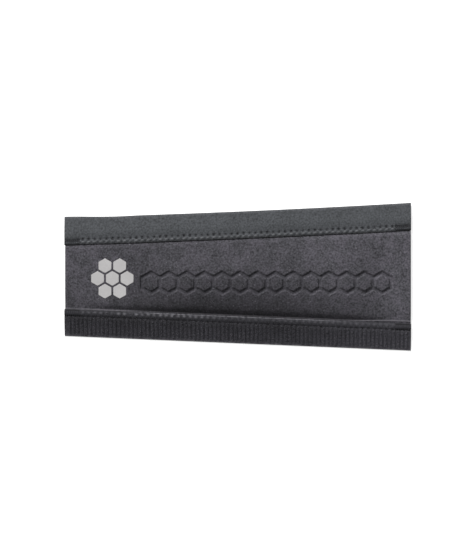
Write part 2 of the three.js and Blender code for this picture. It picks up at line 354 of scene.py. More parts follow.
class NodeBuilder:
    """Adds nodes to a shader or geometry node tree and links them as they are added."""

    def __init__(self, tree: NodeTree) -> None:
        """Keeps the tree that nodes are added to."""
        self.tree = tree

    def feed(self, socket: NodeSocket, value: object) -> None:
        """Links an output to an input, or sets the input's value.

        Args:
            socket: The input.
            value: Another node's output, or a plain value.
        """
        if isinstance(value, NodeSocket):
            self.tree.links.new(value, socket)
        else:
            socket.default_value = value

    def add(self, kind: str, inputs: dict | None = None, **settings: object) -> Node:
        """Adds one node.

        Args:
            kind: The node's type.
            inputs: Values or outputs for its inputs, by name or number.
            settings: Values for its own properties.

        Returns:
            The node.
        """
        node = self.tree.nodes.new(kind)
        for name, value in settings.items():
            setattr(node, name, value)
        for key, value in (inputs or {}).items():
            self.feed(node.inputs[key], value)
        return node

    def math(self, operation: str, *values: object, clamp: bool = False) -> NodeSocket:
        """Adds a Math node."""
        node = self.add("ShaderNodeMath", dict(enumerate(values)), operation=operation, use_clamp=clamp)
        return node.outputs[0]

    def times(self, first: object, second: object) -> NodeSocket:
        """Multiplies two numbers."""
        return self.math("MULTIPLY", first, second)

    def times_plus(self, first: object, second: object, third: object) -> NodeSocket:
        """Multiplies two numbers and adds a third."""
        return self.math("MULTIPLY_ADD", first, second, third)

    def mix(self, factor: object, first: object, second: object) -> NodeSocket:
        """Mixes two colours."""
        node = self.add("ShaderNodeMix", {0: factor, 6: first, 7: second}, data_type="RGBA")
        return node.outputs[2]

    def noise(self, vector: object, scale: float, detail: float = 2.0) -> NodeSocket:
        """Adds a noise texture."""
        inputs = {"Vector": vector, "Scale": scale, "Detail": detail}
        return self.add("ShaderNodeTexNoise", inputs).outputs["Fac"]

    def ease(self, value: object, low: object, high: object) -> NodeSocket:
        """Rises smoothly from 0 at low to 1 at high.

        Args:
            value: The value to ease.
            low: Where the rise starts.
            high: Where the rise ends.

        Returns:
            The eased value.
        """
        inputs = {"Value": value, "From Min": low, "From Max": high}
        node = self.add("ShaderNodeMapRange", inputs, interpolation_type="SMOOTHSTEP")
        return node.outputs["Result"]

    def place(self) -> NodeSocket:
        """Reads where on the object a shader is."""
        return self.add("ShaderNodeTexCoord").outputs["Object"]

    def cells(self, scale: float) -> NodeSocket:
        """Adds a pattern of cells, with so many in each metre: the distance from their middles."""
        return self.add("ShaderNodeTexVoronoi", {"Vector": self.place(), "Scale": scale}).outputs["Distance"]

    def attribute(self, name: str, output: str = "Fac") -> NodeSocket:
        """Reads one of the mesh's attributes, as a number or as a vector."""
        return self.add("ShaderNodeAttribute", attribute_name=name).outputs[output]

    def split(self, vector: object) -> object:
        """Splits a vector into its X, Y and Z."""
        return self.add("ShaderNodeSeparateXYZ", {0: vector}).outputs

    def combine(self, x: object = 0.0, y: object = 0.0, z: object = 0.0) -> NodeSocket:
        """Combines three numbers into a vector."""
        return self.add("ShaderNodeCombineXYZ", {0: x, 1: y, 2: z}).outputs[0]

    def scale(self, vector: object, factor: object) -> NodeSocket:
        """Scales a vector or a colour."""
        return self.add("ShaderNodeVectorMath", {0: vector, 3: factor}, operation="SCALE").outputs[0]

    def vectors(self, operation: str, first: object, second: object) -> NodeSocket:
        """Combines two vectors with a Vector Math node."""
        return self.add("ShaderNodeVectorMath", {0: first, 1: second}, operation=operation).outputs[0]

    def realized(self, instances: NodeSocket) -> NodeSocket:
        """Turns instances into a mesh."""
        return self.add("GeometryNodeRealizeInstances", {0: instances}).outputs[0]

    def swing(self, noise: object, reach: object, base: object) -> NodeSocket:
        """Lets a value swing about a base, with a noise."""
        return self.times_plus(self.math("SUBTRACT", noise, 0.5), reach, base)

    def grey(self, value: object) -> NodeSocket:
        """Makes a grey of one number."""
        return self.add("ShaderNodeCombineColor", {0: value, 1: value, 2: value}).outputs[0]

    def group(self, tree: NodeTree, **inputs: object) -> object:
        """Places a shader group."""
        named = {name.replace("_", " "): value for name, value in inputs.items()}
        return self.add("ShaderNodeGroup", named, node_tree=tree).outputs

    def bump(self, shader: Node, height: object, depth: float, strength: float) -> None:
        """Gives a shader a fine relief."""
        inputs = {"Strength": strength, "Distance": depth, "Height": height}
        self.feed(shader.inputs["Normal"], self.add("ShaderNodeBump", inputs).outputs["Normal"])


Sockets = dict[str, tuple[str, ...]]
SOCKET_KINDS = {
    "float": "NodeSocketFloat",
    "int": "NodeSocketInt",
    "vector": "NodeSocketVector",
    "geometry": "NodeSocketGeometry",
    "object": "NodeSocketObject",
    "material": "NodeSocketMaterial",
}


def new_group(name: str, kind: str, inputs: Sockets, outputs: Sockets) -> tuple[NodeBuilder, object]:
    """Starts a node group with named sockets.

    Args:
        name: The group's name.
        kind: "ShaderNodeTree" or "GeometryNodeTree".
        inputs: Names of its inputs, by their kind.
        outputs: Names of its outputs, by their kind.

    Returns:
        A builder on the group, and what the group is given, by name.
    """
    tree = bpy.data.node_groups.new(name, kind)
    for way, sockets in (("INPUT", inputs), ("OUTPUT", outputs)):
        for socket, labels in sockets.items():
            for label in labels:
                tree.interface.new_socket(name=label, in_out=way, socket_type=SOCKET_KINDS[socket])
    nodes = NodeBuilder(tree)
    return nodes, nodes.add("NodeGroupInput").outputs


# Shader effects that several finishes share


class ClothEffects:
    """Builds the shader groups once: heathered fibre, jersey knit, woven tape, a tape's paler wide end and
    outer edge, and lint.
    """

    BLOTCH_SHARE = 0.42  # weight of the blotches beside that of the flecks
    TINTED = (0.4, 0.62)  # from where to where in the blotches the tint comes in
    WOBBLE_SCALE = 260.0  # features per metre in the knit's wandering columns
    WOBBLE_REACH = 0.5  # in columns
    YARN_SLANT = 1.2  # courses that a yarn climbs in one column
    CORD_POWER = 0.6  # how flat-topped a warp cord is
    BEAD_POWER = 0.5  # how flat-topped a cord's bead between two wefts is
    PALER_FROM_TO = (20 * MM, 118 * MM)  # along the tape
    PALER_EDGE = (5 * MM, 14.5 * MM)  # in from the outer edge, where the paler edge ends
    SPECKS = (0.64, 0.78)  # from where to where in the noise a speck comes in

    def __init__(self) -> None:
        """Builds the groups."""
        self.heather = self._heather()
        self.knit = self._knit()
        self.weave = self._weave()
        self.paleness = self._paleness()
        self.lint = self._lint()

    @staticmethod
    def _heather() -> NodeTree:
        """Builds the uneven tone of dyed fibres: fine flecks over broad, faint blotches.

        Returns:
            The group.
        """
        inputs = {"vector": ("Vector",), "float": ("Fleck Scale", "Blotch Scale", "Contrast")}
        outputs = {"float": ("Tone", "Tint")}
        nodes, given = new_group("Heathered Fibre", "ShaderNodeTree", inputs, outputs)
        fleck = nodes.noise(given["Vector"], given["Fleck Scale"], 1.0)
        blotch = nodes.noise(given["Vector"], given["Blotch Scale"], 3.0)
        both = nodes.swing(blotch, ClothEffects.BLOTCH_SHARE, nodes.math("SUBTRACT", fleck, 0.5))
        tone = nodes.times_plus(both, given["Contrast"], 1.0)
        nodes.add("NodeGroupOutput", {"Tone": tone, "Tint": nodes.ease(blotch, *ClothEffects.TINTED)})
        return nodes.tree

    @staticmethod
    def _knit() -> NodeTree:
        """Builds a jersey knit's relief: columns of slanting loops.

        Returns:
            The group.
        """
        inputs = {"vector": ("Vector",), "float": ("Wale", "Course")}
        nodes, given = new_group("Jersey Knit", "ShaderNodeTree", inputs, {"float": ("Height",)})
        place = nodes.split(given["Vector"])
        wobble = nodes.noise(given["Vector"], ClothEffects.WOBBLE_SCALE, 1.0)
        wale = nodes.math("DIVIDE", place["X"], given["Wale"])
        wale = nodes.times_plus(wobble, ClothEffects.WOBBLE_REACH, wale)
        course = nodes.math("DIVIDE", place["Y"], given["Course"])
        column = nodes.math("PINGPONG", wale, 0.5)
        slanted = nodes.times_plus(column, ClothEffects.YARN_SLANT, course)
        round_yarn = nodes.times(nodes.math("PINGPONG", slanted, 0.5), 2.0)
        groove = nodes.math("POWER", nodes.times(column, 2.0), 0.5)
        nodes.add("NodeGroupOutput", {"Height": nodes.times(round_yarn, groove)})
        return nodes.tree

    @staticmethod
    def _weave() -> NodeTree:
        """Builds a tape's weave: warp cords along X under and over fine weft.

        Returns:
            The group.
        """
        inputs = {"vector": ("Vector",), "float": ("Warp", "Weft")}
        nodes, given = new_group("Tape Weave", "ShaderNodeTree", inputs, {"float": ("Height", "Gap")})
        place = nodes.split(given["Vector"])
        row = nodes.math("DIVIDE", place["Y"], given["Warp"])
        odd = nodes.math("MODULO", nodes.math("FLOOR", row), 2.0)
        step = nodes.times_plus(odd, 0.5, nodes.math("DIVIDE", place["X"], given["Weft"]))
        cord = nodes.times(nodes.math("PINGPONG", row, 0.5), 2.0)
        bead = nodes.times(nodes.math("PINGPONG", step, 0.5), 2.0)
        height = nodes.times(
            nodes.math("POWER", cord, ClothEffects.CORD_POWER),
            nodes.math("POWER", bead, ClothEffects.BEAD_POWER),
        )
        gap = nodes.math("SUBTRACT", 1.0, height, clamp=True)
        nodes.add("NodeGroupOutput", {"Height": height, "Gap": gap})
        return nodes.tree

    @staticmethod
    def _paleness() -> NodeTree:
        """Builds a tape's paler tone at its wide end and along its outer edge.

        Returns:
            The group.
        """
        inputs = {"vector": ("Along Tape",), "float": ("Tone", "At Wide End", "Outward")}
        nodes, given = new_group("Tape Paleness", "ShaderNodeTree", inputs, {"float": ("Tone",)})
        place = nodes.split(given["Along Tape"])
        far = nodes.ease(place["X"], *ClothEffects.PALER_FROM_TO)
        tone = nodes.times_plus(far, given["At Wide End"], given["Tone"])
        near_edge = nodes.math("SUBTRACT", 1.0, nodes.ease(place["Y"], *ClothEffects.PALER_EDGE))
        nodes.add("NodeGroupOutput", {0: nodes.times_plus(near_edge, given["Outward"], tone)})
        return nodes.tree

    @staticmethod
    def _lint() -> NodeTree:
        """Builds stray pale fibres and dust specks.

        Returns:
            The group.
        """
        inputs = {"vector": ("Vector",), "float": ("Scale", "Amount")}
        nodes, given = new_group("Lint", "ShaderNodeTree", inputs, {"float": ("Mask",)})
        bright = nodes.ease(nodes.noise(given["Vector"], given["Scale"]), *ClothEffects.SPECKS)
        nodes.add("NodeGroupOutput", {"Mask": nodes.times(bright, given["Amount"])})
        return nodes.tree


def new_material(name: str, **principled: object) -> tuple[Material, NodeBuilder, Node]:
    """Starts a material with a Principled BSDF.

    Args:
        name: The material's name.
        principled: Plain values for the shader's sockets, with _ for each space in a name.

    Returns:
        The material, a builder on its tree and the shader.
    """
    material = bpy.data.materials.new(name)
    material.use_nodes = True
    material.node_tree.nodes.clear()
    nodes = NodeBuilder(material.node_tree)
    shader = nodes.add("ShaderNodeBsdfPrincipled")
    for label, value in principled.items():
        shader.inputs[label.replace("_", " ")].default_value = value
    nodes.add("ShaderNodeOutputMaterial", {"Surface": shader.outputs[0]})
    return material, nodes, shader


@dataclass(frozen=True)
class JerseyFinish:
    """Charcoal jersey, heathered, with paler lint, glossier and darker where it is pressed."""

    effects: ClothEffects
    base: Colour = linear_colour(75, 74, 79)
    tint: Colour = linear_colour(76, 74, 80)
    pressed: Colour = linear_colour(58, 57, 62)
    # Painted highlight for the lip's side that faces the light.
    highlight_paint: Colour = linear_colour(100, 98, 103)
    lint: Colour = linear_colour(160, 159, 166)
    fleck_scale: float = 760.0
    blotch_scale: float = 120.0
    contrast: float = 2.2
    # How strongly the painted shade darkens the jersey.
    painted_shade_strength: float = 0.46
    pressed_share: float = 0.3
    # How much of the painted highlight the lip gets.
    highlight_share: float = 0.8
    lint_scale: float = 1100.0
    lint_amount: float = 0.4
    wale: float = 0.62 * MM
    course: float = 0.5 * MM
    knit_depth: float = 0.12 * MM
    knit_worn_by_pressing: float = 0.7

    def build(self) -> Material:
        """Builds the material.

        Returns:
            The material.
        """
        effects = self.effects
        material, nodes, shader = new_material(
            "jersey_laminate", Roughness=0.82, Sheen_Weight=0.08, Sheen_Roughness=0.5,
            Specular_IOR_Level=0.15,
        )
        place = nodes.place()
        heather = nodes.group(
            effects.heather, Vector=place, Fleck_Scale=self.fleck_scale, Blotch_Scale=self.blotch_scale,
            Contrast=self.contrast,
        )
        # Painted shade: darker where the arch turns away from the light and beside the loop seam's backtacks,
        # and paler at the wide end.
        shade = nodes.times_plus(nodes.attribute("painted_shade"), -self.painted_shade_strength, 1.0)
        tinted = nodes.mix(heather["Tint"], self.base, self.tint)
        toned = nodes.scale(tinted, nodes.times(heather["Tone"], shade))
        mask = nodes.attribute("pressed")
        colour = nodes.mix(nodes.times(mask, self.pressed_share), toned, self.pressed)
        # Painted highlight on the lip beside the hook tape.
        lip = nodes.times(nodes.attribute("lip"), self.highlight_share)
        colour = nodes.mix(lip, colour, self.highlight_paint)
        lint = nodes.group(effects.lint, Vector=place, Scale=self.lint_scale, Amount=self.lint_amount)
        nodes.feed(shader.inputs["Base Color"], nodes.mix(lint["Mask"], colour, self.lint))
        knit = nodes.group(effects.knit, Vector=place, Wale=self.wale, Course=self.course)
        kept = nodes.times_plus(mask, -self.knit_worn_by_pressing, 1.0)
        nodes.bump(shader, nodes.times(knit["Height"], kept), self.knit_depth, strength=0.7)
        return material


@dataclass(frozen=True)
class FoamFinish:
    """Black cellular foam on the panel's cut edges."""

    base: Colour = linear_colour(52, 52, 55)
    cell: Colour = linear_colour(26, 26, 28)
    cell_scale: float = 3200.0
    cell_depth: float = 0.1 * MM

    def build(self) -> Material:
        """Builds the material.

        Returns:
            The material.
        """
        material, nodes, shader = new_material("foam_edge", Roughness=0.9, Specular_IOR_Level=0.2)
        cells = nodes.cells(self.cell_scale)
        nodes.feed(shader.inputs["Base Color"], nodes.mix(cells, self.cell, self.base))
        nodes.bump(shader, cells, self.cell_depth, strength=0.6)
        return material


@dataclass(frozen=True)
class WovenTapeFinish:
    """A woven nylon tape, on coordinates that follow the tape."""

    effects: ClothEffects
    name: str
    base: Colour
    gap: Colour
    # Paler colour: painted highlight on the pillows between stitches and on the inner rim, which is partly
    # the selvedge's own paler weave, and the paler outer edge.
    pale_and_highlight: Colour
    # Dark colour painted as shade in needle holes, under stitch legs, along backtacks and on the hook tape's
    # inner edge at its ends.
    hole: Colour = linear_colour(22, 22, 24)
    lint: Colour = linear_colour(140, 140, 144)
    fleck_scale: float = 760.0
    blotch_scale: float = 60.0
    contrast: float = 1.5
    gap_share: float = 0.6
    # How much of the painted shade colour those places get.
    shade_share: float = 0.85
    patch_scale: float = 420.0
    lint_scale: float = 1500.0
    lint_amount: float = 0.25
    warp: float = 0.55 * MM
    weft: float = 0.8 * MM
    relief: float = 0.1 * MM
    wide_end_paleness: float = 0.0
    outward: float = 0.0
    # How much paler the tape is over the seam's ridge: on the hook tape partly its hook-free border's own
    # tone, partly painted highlight.
    inward: float = 0.0
    # From where to where the paler ridge over the seam, and the noise that breaks up the painted highlight
    # and paler rims, come in.
    ridge: tuple[float, float] = (15 * MM, 17 * MM)
    patches: tuple[float, float] = (0.25, 0.6)

    def build(self) -> Material:
        """Builds the material.

        Returns:
            The material.
        """
        effects = self.effects
        material, nodes, shader = new_material(
            self.name, Roughness=0.75, Sheen_Weight=0.05, Sheen_Roughness=0.5, Specular_IOR_Level=0.15
        )
        along = nodes.attribute("along_tape", "Vector")
        weave = nodes.group(effects.weave, Vector=along, Warp=self.warp, Weft=self.weft)
        heather = nodes.group(
            effects.heather, Vector=along, Fleck_Scale=self.fleck_scale, Blotch_Scale=self.blotch_scale,
            Contrast=self.contrast,
        )
        woven = nodes.mix(nodes.times(weave["Gap"], self.gap_share), self.base, self.gap)
        paleness = nodes.group(
            effects.paleness, Along_Tape=along, Tone=heather["Tone"], At_Wide_End=self.wide_end_paleness,
            Outward=self.outward,
        )
        ridge = nodes.ease(nodes.split(along)["Y"], *self.ridge)
        toned = nodes.scale(woven, nodes.times_plus(ridge, self.inward, paleness["Tone"]))
        patches = nodes.ease(nodes.noise(along, self.patch_scale), *self.patches)
        # Painted highlight on the pillows and the inner rim, partly the selvedge's own tone, and the paler
        # outer edge.
        highlight_paint = nodes.mix(nodes.times(nodes.attribute("pale_and_highlight"), patches), toned, self.pale_and_highlight)
        # Painted shade in holes, under legs, along backtacks and on the hook tape's inner edge.
        hole = nodes.times(nodes.attribute("pressed"), self.shade_share)
        shaded = nodes.mix(hole, highlight_paint, self.hole)
        lint = nodes.group(effects.lint, Vector=along, Scale=self.lint_scale, Amount=self.lint_amount)
        nodes.feed(shader.inputs["Base Color"], nodes.mix(lint["Mask"], shaded, self.lint))
        nodes.bump(shader, weave["Height"], self.relief, strength=0.8)
        return material


@dataclass(frozen=True)
class FilamentFinish:
    """Nylon or polyester filament, for the hooks, the pile and the threads."""

    effects: ClothEffects
    name: str
    base: Colour
    roughness: float
    sheen: float = 0.0
    fleck_scale: float = 600.0
    fleck: float = 0.5
    patch_scale: float = 190.0
    patch: float = 0.0
    streak: float = 1.0
    wide_end_paleness: float = 0.0
    outward: float = 0.0
    gloss: float = 0.45
    gloss_unevenness: float = 0.3

    def build(self) -> Material:
        """Builds the material.

        Returns:
            The material.
        """
        material, nodes, shader = new_material(
            self.name, Sheen_Weight=self.sheen, Specular_IOR_Level=self.gloss
        )
        place = nodes.place()
        fleck = nodes.noise(place, self.fleck_scale, 1.0)
        drawn_out = nodes.vectors("MULTIPLY", place, (1.0, self.streak, 1.0))
        patches = nodes.noise(drawn_out, self.patch_scale, 1.0)
        tone = nodes.swing(patches, self.patch * 2, nodes.swing(fleck, self.fleck * 2, 1.0))
        paleness = nodes.group(
            self.effects.paleness, Along_Tape=nodes.attribute("along_tape", "Vector"), Tone=tone,
            At_Wide_End=self.wide_end_paleness, Outward=self.outward,
        )
        nodes.feed(shader.inputs["Base Color"], nodes.scale(self.base[:3], paleness["Tone"]))
        nodes.feed(shader.inputs["Roughness"], nodes.swing(fleck, self.gloss_unevenness, self.roughness))
        return material


@dataclass(frozen=True)
class ReflectiveFilmFinish:
    """Light grey transfer film with the fine sparkle of glass beads."""

    base: Colour = linear_colour(178, 176, 176)
    bead: Colour = linear_colour(205, 204, 204)
    bead_scale: float = 2600.0
    bead_depth: float = 0.04 * MM
    blotch_scale: float = 160.0
    roughness: float = 0.52
    rougher_between_beads: float = 0.25

    def build(self) -> Material:
        """Builds the material.

        Returns:
            The material.
        """
        material, nodes, shader = new_material("reflective_film", Metallic=0.1, Specular_IOR_Level=0.3)
        beads = nodes.cells(self.bead_scale)
        share = nodes.times(beads, nodes.noise(nodes.place(), self.blotch_scale))
        nodes.feed(shader.inputs["Base Color"], nodes.mix(share, self.base, self.bead))
        rough = nodes.times_plus(beads, self.rougher_between_beads, self.roughness)
        nodes.feed(shader.inputs["Roughness"], rough)
        nodes.bump(shader, beads, self.bead_depth, strength=0.4)
        return material


# Meshes


def link_object(name: str, data: bpy.types.ID) -> Object:
    """Puts a mesh, a light or a camera in the scene.

    Args:
        name: The object's name.
        data: What it holds.

    Returns:
        The object.
    """
    piece = bpy.data.objects.new(name, data)
    bpy.context.scene.collection.objects.link(piece)
    return piece


def bridge(shape: bmesh.types.BMesh, rings: list) -> None:
    """Joins rings of vertices with quads.

    Args:
        shape: The edited shape.
        rings: The rings, each with as many vertices.
    """
    for first, second in zip(rings[:-1], rings[1:]):
        for k in range(len(first)):
            after = (k + 1) % len(first)
            shape.faces.new((first[k], second[k], second[after], first[after]))


def smooth_mesh(name: str, shape: bmesh.types.BMesh) -> Mesh:
    """Turns an edited shape into a smooth mesh with its faces outwards, and frees the shape.

    Args:
        name: The mesh's name.
        shape: The edited shape.

    Returns:
        The mesh.
    """
    bmesh.ops.recalc_face_normals(shape, faces=shape.faces)
    for face in shape.faces:
        face.smooth = True
    mesh = bpy.data.meshes.new(name)
    shape.to_mesh(mesh)
    shape.free()
    return mesh


def steps_between(low: float, high: float, step: float) -> Array:
    """Lists even steps from low to high, both included."""
    return np.linspace(low, high, max(2, round((high - low) / step) + 1))


def half_turn(steps: int) -> list[float]:
    """Lists even steps of a half turn in radians, both ends included."""
    return [math.pi * step / steps for step in range(steps + 1)]


@dataclass
class ClosedSheet:
    """A sheet over a grid, with rows along X and columns along Y, closed round its borders."""

    x: Array
    y: Array
    low: Array
    high: Array
    point_values: dict[str, Array] = field(default_factory=dict)
    wall_steps: int = 1
    wall_bulge: float = 0.0

    def _border(self) -> Array:
        """Lists the grid's border points, clockwise from above."""
        rows, columns = self.x.shape
        ids = np.arange(rows * columns).reshape(rows, columns)
        return np.concatenate([ids[0, :], ids[1:, -1], ids[-1, -2::-1], ids[-2:0:-1, 0]])

    def _wall_points(self, upper: Array, lower: Array) -> list[Array]:
        """Places the rings of points between the two faces' borders.

        Args:
            upper: The border of the upper face.
            lower: The border of the lower face.

        Returns:
            One ring of points for each step between them.
        """
        rings = []
        for step in range(1, self.wall_steps):
            share = step / self.wall_steps
            ring = lower * (1 - share) + upper * share
            out = self.wall_bulge * math.sin(math.pi * share)
            ring[:, 0] += np.where(np.isclose(ring[:, 0], self.x.max()), out, 0)
            ring[:, 0] -= np.where(np.isclose(ring[:, 0], self.x.min()), out, 0)
            rings.append(ring)
        return rings

    def build(
        self, name: str, faces_material: Material, walls_material: Material,
        angle: float = SHARP_ANGLE,
    ) -> Mesh:
        """Builds the mesh with its point attributes, materials and smooth shading.

        Args:
            name: The mesh's name.
            faces_material: The material of the two faces.
            walls_material: The material of the walls between their borders.
            angle: Edges sharper than this many degrees are shaded sharp.

        Returns:
            The mesh.
        """
        rows, columns = self.x.shape
        count = rows * columns
        upper = np.stack([self.x, self.y, self.high], axis=-1).reshape(-1, 3)
        lower = np.stack([self.x, self.y, self.low], axis=-1).reshape(-1, 3)
        corner = (np.arange(rows - 1)[:, None] * columns + np.arange(columns - 1)[None, :]).reshape(-1)
        top = np.stack([corner, corner + columns, corner + columns + 1, corner + 1], axis=-1)
        bottom = top[:, ::-1] + count
        border = self._border()
        rings = self._wall_points(upper[border], lower[border])
        levels = [border + count]
        levels += [np.arange(len(border)) + 2 * count + i * len(border) for i in range(len(rings))]
        levels.append(border)
        walls = [
            np.stack([below, above, np.roll(above, -1), np.roll(below, -1)], axis=-1)
            for below, above in zip(levels[:-1], levels[1:])
        ]
        points = np.concatenate([upper, lower, *rings])
        faces = np.concatenate([top, bottom, *walls])
        mesh = bpy.data.meshes.new(name)
        mesh.vertices.add(len(points))
        mesh.vertices.foreach_set("co", points.astype(np.float32).ravel())
        mesh.loops.add(4 * len(faces))
        mesh.loops.foreach_set("vertex_index", faces.astype(np.int32).ravel())
        mesh.polygons.add(len(faces))
        mesh.polygons.foreach_set("loop_start", np.arange(0, 4 * len(faces), 4, dtype=np.int32))
        slots = np.zeros(len(faces), dtype=np.int32)
        slots[2 * len(top):] = 1
        mesh.polygons.foreach_set("material_index", slots)
        mesh.update(calc_edges=True)
        for label, values in self.point_values.items():
            self._store(mesh, label, values, border, len(rings))
        mesh.shade_smooth()
        mesh.set_sharp_from_angle(angle=math.radians(angle))
        mesh.materials.append(faces_material)
        mesh.materials.append(walls_material)
        return mesh

    @staticmethod
    def _store(mesh: Mesh, label: str, values: Array, border: Array, rings: int) -> None:
        """Stores a value of the grid's points as a mesh attribute.

        Args:
            mesh: The mesh.
            label: The attribute's name.
            values: One number, or three, for each point of the grid.
            border: The grid's border points.
            rings: How many rings of points the walls have between the faces.
        """
        vector = values.ndim == 3
        flat = values.reshape(-1, 3 if vector else 1)
        every = np.concatenate([flat, flat, *([flat[border]] * rings)]).astype(np.float32)
        attribute = mesh.attributes.new(label, "FLOAT_VECTOR" if vector else "FLOAT", "POINT")
        attribute.data.foreach_set("vector" if vector else "value", every.ravel())


@dataclass(frozen=True)
class Wire:
    """A thin round-ended strand along a path of points, with few faces."""

    path: tuple[tuple[float, float, float], ...]
    half_width: float
    half_height: float
    sides: int
    end_share: float

    def build(self, name: str, material: Material) -> Object:
        """Builds the strand as an object for geometry nodes to repeat.

        Args:
            name: The object's name.
            material: Its material.

        Returns:
            The object.
        """
        points = np.array(self.path)
        shape = bmesh.new()
        rings = []
        for i, point in enumerate(points):
            ahead = points[min(i + 1, len(points) - 1)] - points[max(i - 1, 0)]
            ahead = ahead / np.linalg.norm(ahead)
            side = np.cross((0.0, 1.0, 0.0), ahead)
            side = side / np.linalg.norm(side)
            wide = np.cross(ahead, side)
            share = self.end_share if i in (0, len(points) - 1) else 1.0
            ring = []
            for k in range(self.sides):
                turn = 2 * math.pi * (k + 0.5) / self.sides
                offset = wide * math.cos(turn) * self.half_width - side * math.sin(turn) * self.half_height
                ring.append(shape.verts.new(point + offset * share))
            rings.append(ring)
        bridge(shape, rings)
        shape.faces.new(rings[0][::-1])
        shape.faces.new(rings[-1])
        mesh = smooth_mesh(name, shape)
        mesh.materials.append(material)
        return link_object(name, mesh)


# Geometry node trees


class RepeatTrees:
    """Builds the geometry node trees once: a row of stitches, a field of strands, and their lay on a tape."""

    WORK = {"geometry": ("Geometry",)}
    LAY = (
        "Half Width", "Slope", "Bow", "Half Length", "Way In", "Rise", "Free Slope", "Bend",
        "Crown", "Crown Centre", "Crown Reach",
    )
    STRETCHES = ("First Tack", "Plain", "Last Tack")
    # How much of their reach the random offsets and turns have along X, Y and Z.
    JITTER_WEIGHTS = (1.0, 1.0, 0.35)
    LEAN_WEIGHTS = (1.0, 1.0, 0.0)
    TURN_WEIGHTS = (0.0, 0.0, 1.0)
    SEEDS_APART = 10.0  # between the two halves of a strand field

    def __init__(self) -> None:
        """Builds the trees."""
        self.on_tape = self._on_tape()
        self.stitch_row = self._stitch_row()
        self.seam_thread = self._seam_thread()
        self.strand_field = self._strand_field()

    def _on_tape(self) -> NodeTree:
        """Builds the group that lays flat work along a long edge, over the tape's rise and crown.

        In the flat work X runs along the protector, Y is the signed way in from the edge and Z the
        height over the tape's underside.

        Returns:
            The group.
        """
        inputs = {**self.WORK, "float": self.LAY}
        nodes, given = new_group("Lay on Tape", "GeometryNodeTree", inputs, self.WORK)
        flat = nodes.add("GeometryNodeInputPosition").outputs[0]
        place = nodes.split(flat)
        share = nodes.math("DIVIDE", place["X"], given["Half Length"])
        bowed = nodes.times_plus(nodes.times(share, share), -1.0, 1.0)
        half = nodes.times_plus(place["X"], given["Slope"], given["Half Width"])
        outward = nodes.times(given["Way In"], -1.0)
        edge = nodes.times(half, outward)
        edge = nodes.math("SUBTRACT", edge, nodes.times(bowed, given["Bow"]))
        distance = nodes.times(place["Y"], given["Way In"])
        sloping = nodes.times(distance, given["Free Slope"])
        rise = nodes.math("SMOOTH_MIN", sloping, given["Rise"], given["Bend"])
        off = nodes.math("SUBTRACT", distance, given["Crown Centre"])
        off = nodes.math("DIVIDE", off, given["Crown Reach"])
        crown = nodes.math("MULTIPLY_ADD", nodes.times(off, off), -1.0, 1.0, clamp=True)
        height = nodes.math("ADD", rise, place["Z"])
        height = nodes.times_plus(crown, given["Crown"], height)
        laid = nodes.combine(place["X"], nodes.math("ADD", edge, place["Y"]), height)
        marked = nodes.add("GeometryNodeStoreNamedAttribute", {
            "Geometry": given["Geometry"], "Name": "along_tape", "Value": flat,
        }, data_type="FLOAT_VECTOR")
        moved = nodes.add("GeometryNodeSetPosition", {"Geometry": marked.outputs[0], "Position": laid})
        nodes.add("NodeGroupOutput", {0: moved.outputs[0]})
        return nodes.tree

    @staticmethod
    def _stitch_row() -> NodeTree:
        """Builds the group that repeats a stitch's leg in a zigzag, from hole to hole.

        Returns:
            The group.
        """
        numbers = ("Start", "Step", "From", "Across", "Height")
        inputs = {"object": ("Leg",), "int": ("Count",), "float": numbers}
        nodes, given = new_group("Stitch Row", "GeometryNodeTree", inputs, RepeatTrees.WORK)
        first = nodes.combine(
            nodes.times_plus(given["Step"], 0.5, given["Start"]),
            nodes.times_plus(given["Across"], 0.5, given["From"]),
            given["Height"],
        )
        line = nodes.add("GeometryNodeMeshLine", {
            "Count": given["Count"], "Start Location": first, "Offset": nodes.combine(given["Step"]),
        }, mode="OFFSET", count_mode="TOTAL")
        index = nodes.add("GeometryNodeInputIndex").outputs[0]
        hand = nodes.times_plus(nodes.math("MODULO", index, 2.0), -2.0, 1.0)
        angle = nodes.times(nodes.math("ARCTAN2", given["Across"], given["Step"]), hand)
        turn = nodes.add("FunctionNodeEulerToRotation", {0: nodes.combine(z=angle)}).outputs[0]
        squares = nodes.times(given["Across"], given["Across"])
        squares = nodes.times_plus(given["Step"], given["Step"], squares)
        scale = nodes.combine(nodes.math("SQRT", squares), 1.0, 1.0)
        leg = nodes.add("GeometryNodeObjectInfo", {"Object": given["Leg"]}).outputs["Geometry"]
        repeated = nodes.add("GeometryNodeInstanceOnPoints", {
            "Points": line.outputs["Mesh"], "Instance": leg, "Rotation": turn, "Scale": scale,
        }).outputs[0]
        nodes.add("NodeGroupOutput", {0: nodes.realized(repeated)})
        return nodes.tree

    def _seam_thread(self) -> NodeTree:
        """Builds the tree of a whole seam: a backtack, the plain zigzag and the other backtack.

        Returns:
            The tree.
        """
        runs = [f"{label} {name}" for label in self.STRETCHES for name in ("Start", "Step")]
        inputs = {
            "object": ("Leg",), "int": tuple(f"{label} Count" for label in self.STRETCHES),
            "float": (*runs, "From", "Across", "Height", *self.LAY), "material": ("Material",),
        }
        nodes, given = new_group("Seam Thread", "GeometryNodeTree", inputs, self.WORK)
        joined = nodes.add("GeometryNodeJoinGeometry")
        for label in self.STRETCHES:
            row = nodes.add("GeometryNodeGroup", node_tree=self.stitch_row)
            for name in ("Start", "Step", "Count"):
                nodes.feed(row.inputs[name], given[f"{label} {name}"])
            for name in ("Leg", "From", "Across", "Height"):
                nodes.feed(row.inputs[name], given[name])
            nodes.feed(joined.inputs[0], row.outputs[0])
        self._finish(nodes, given, joined.outputs[0])
        return nodes.tree

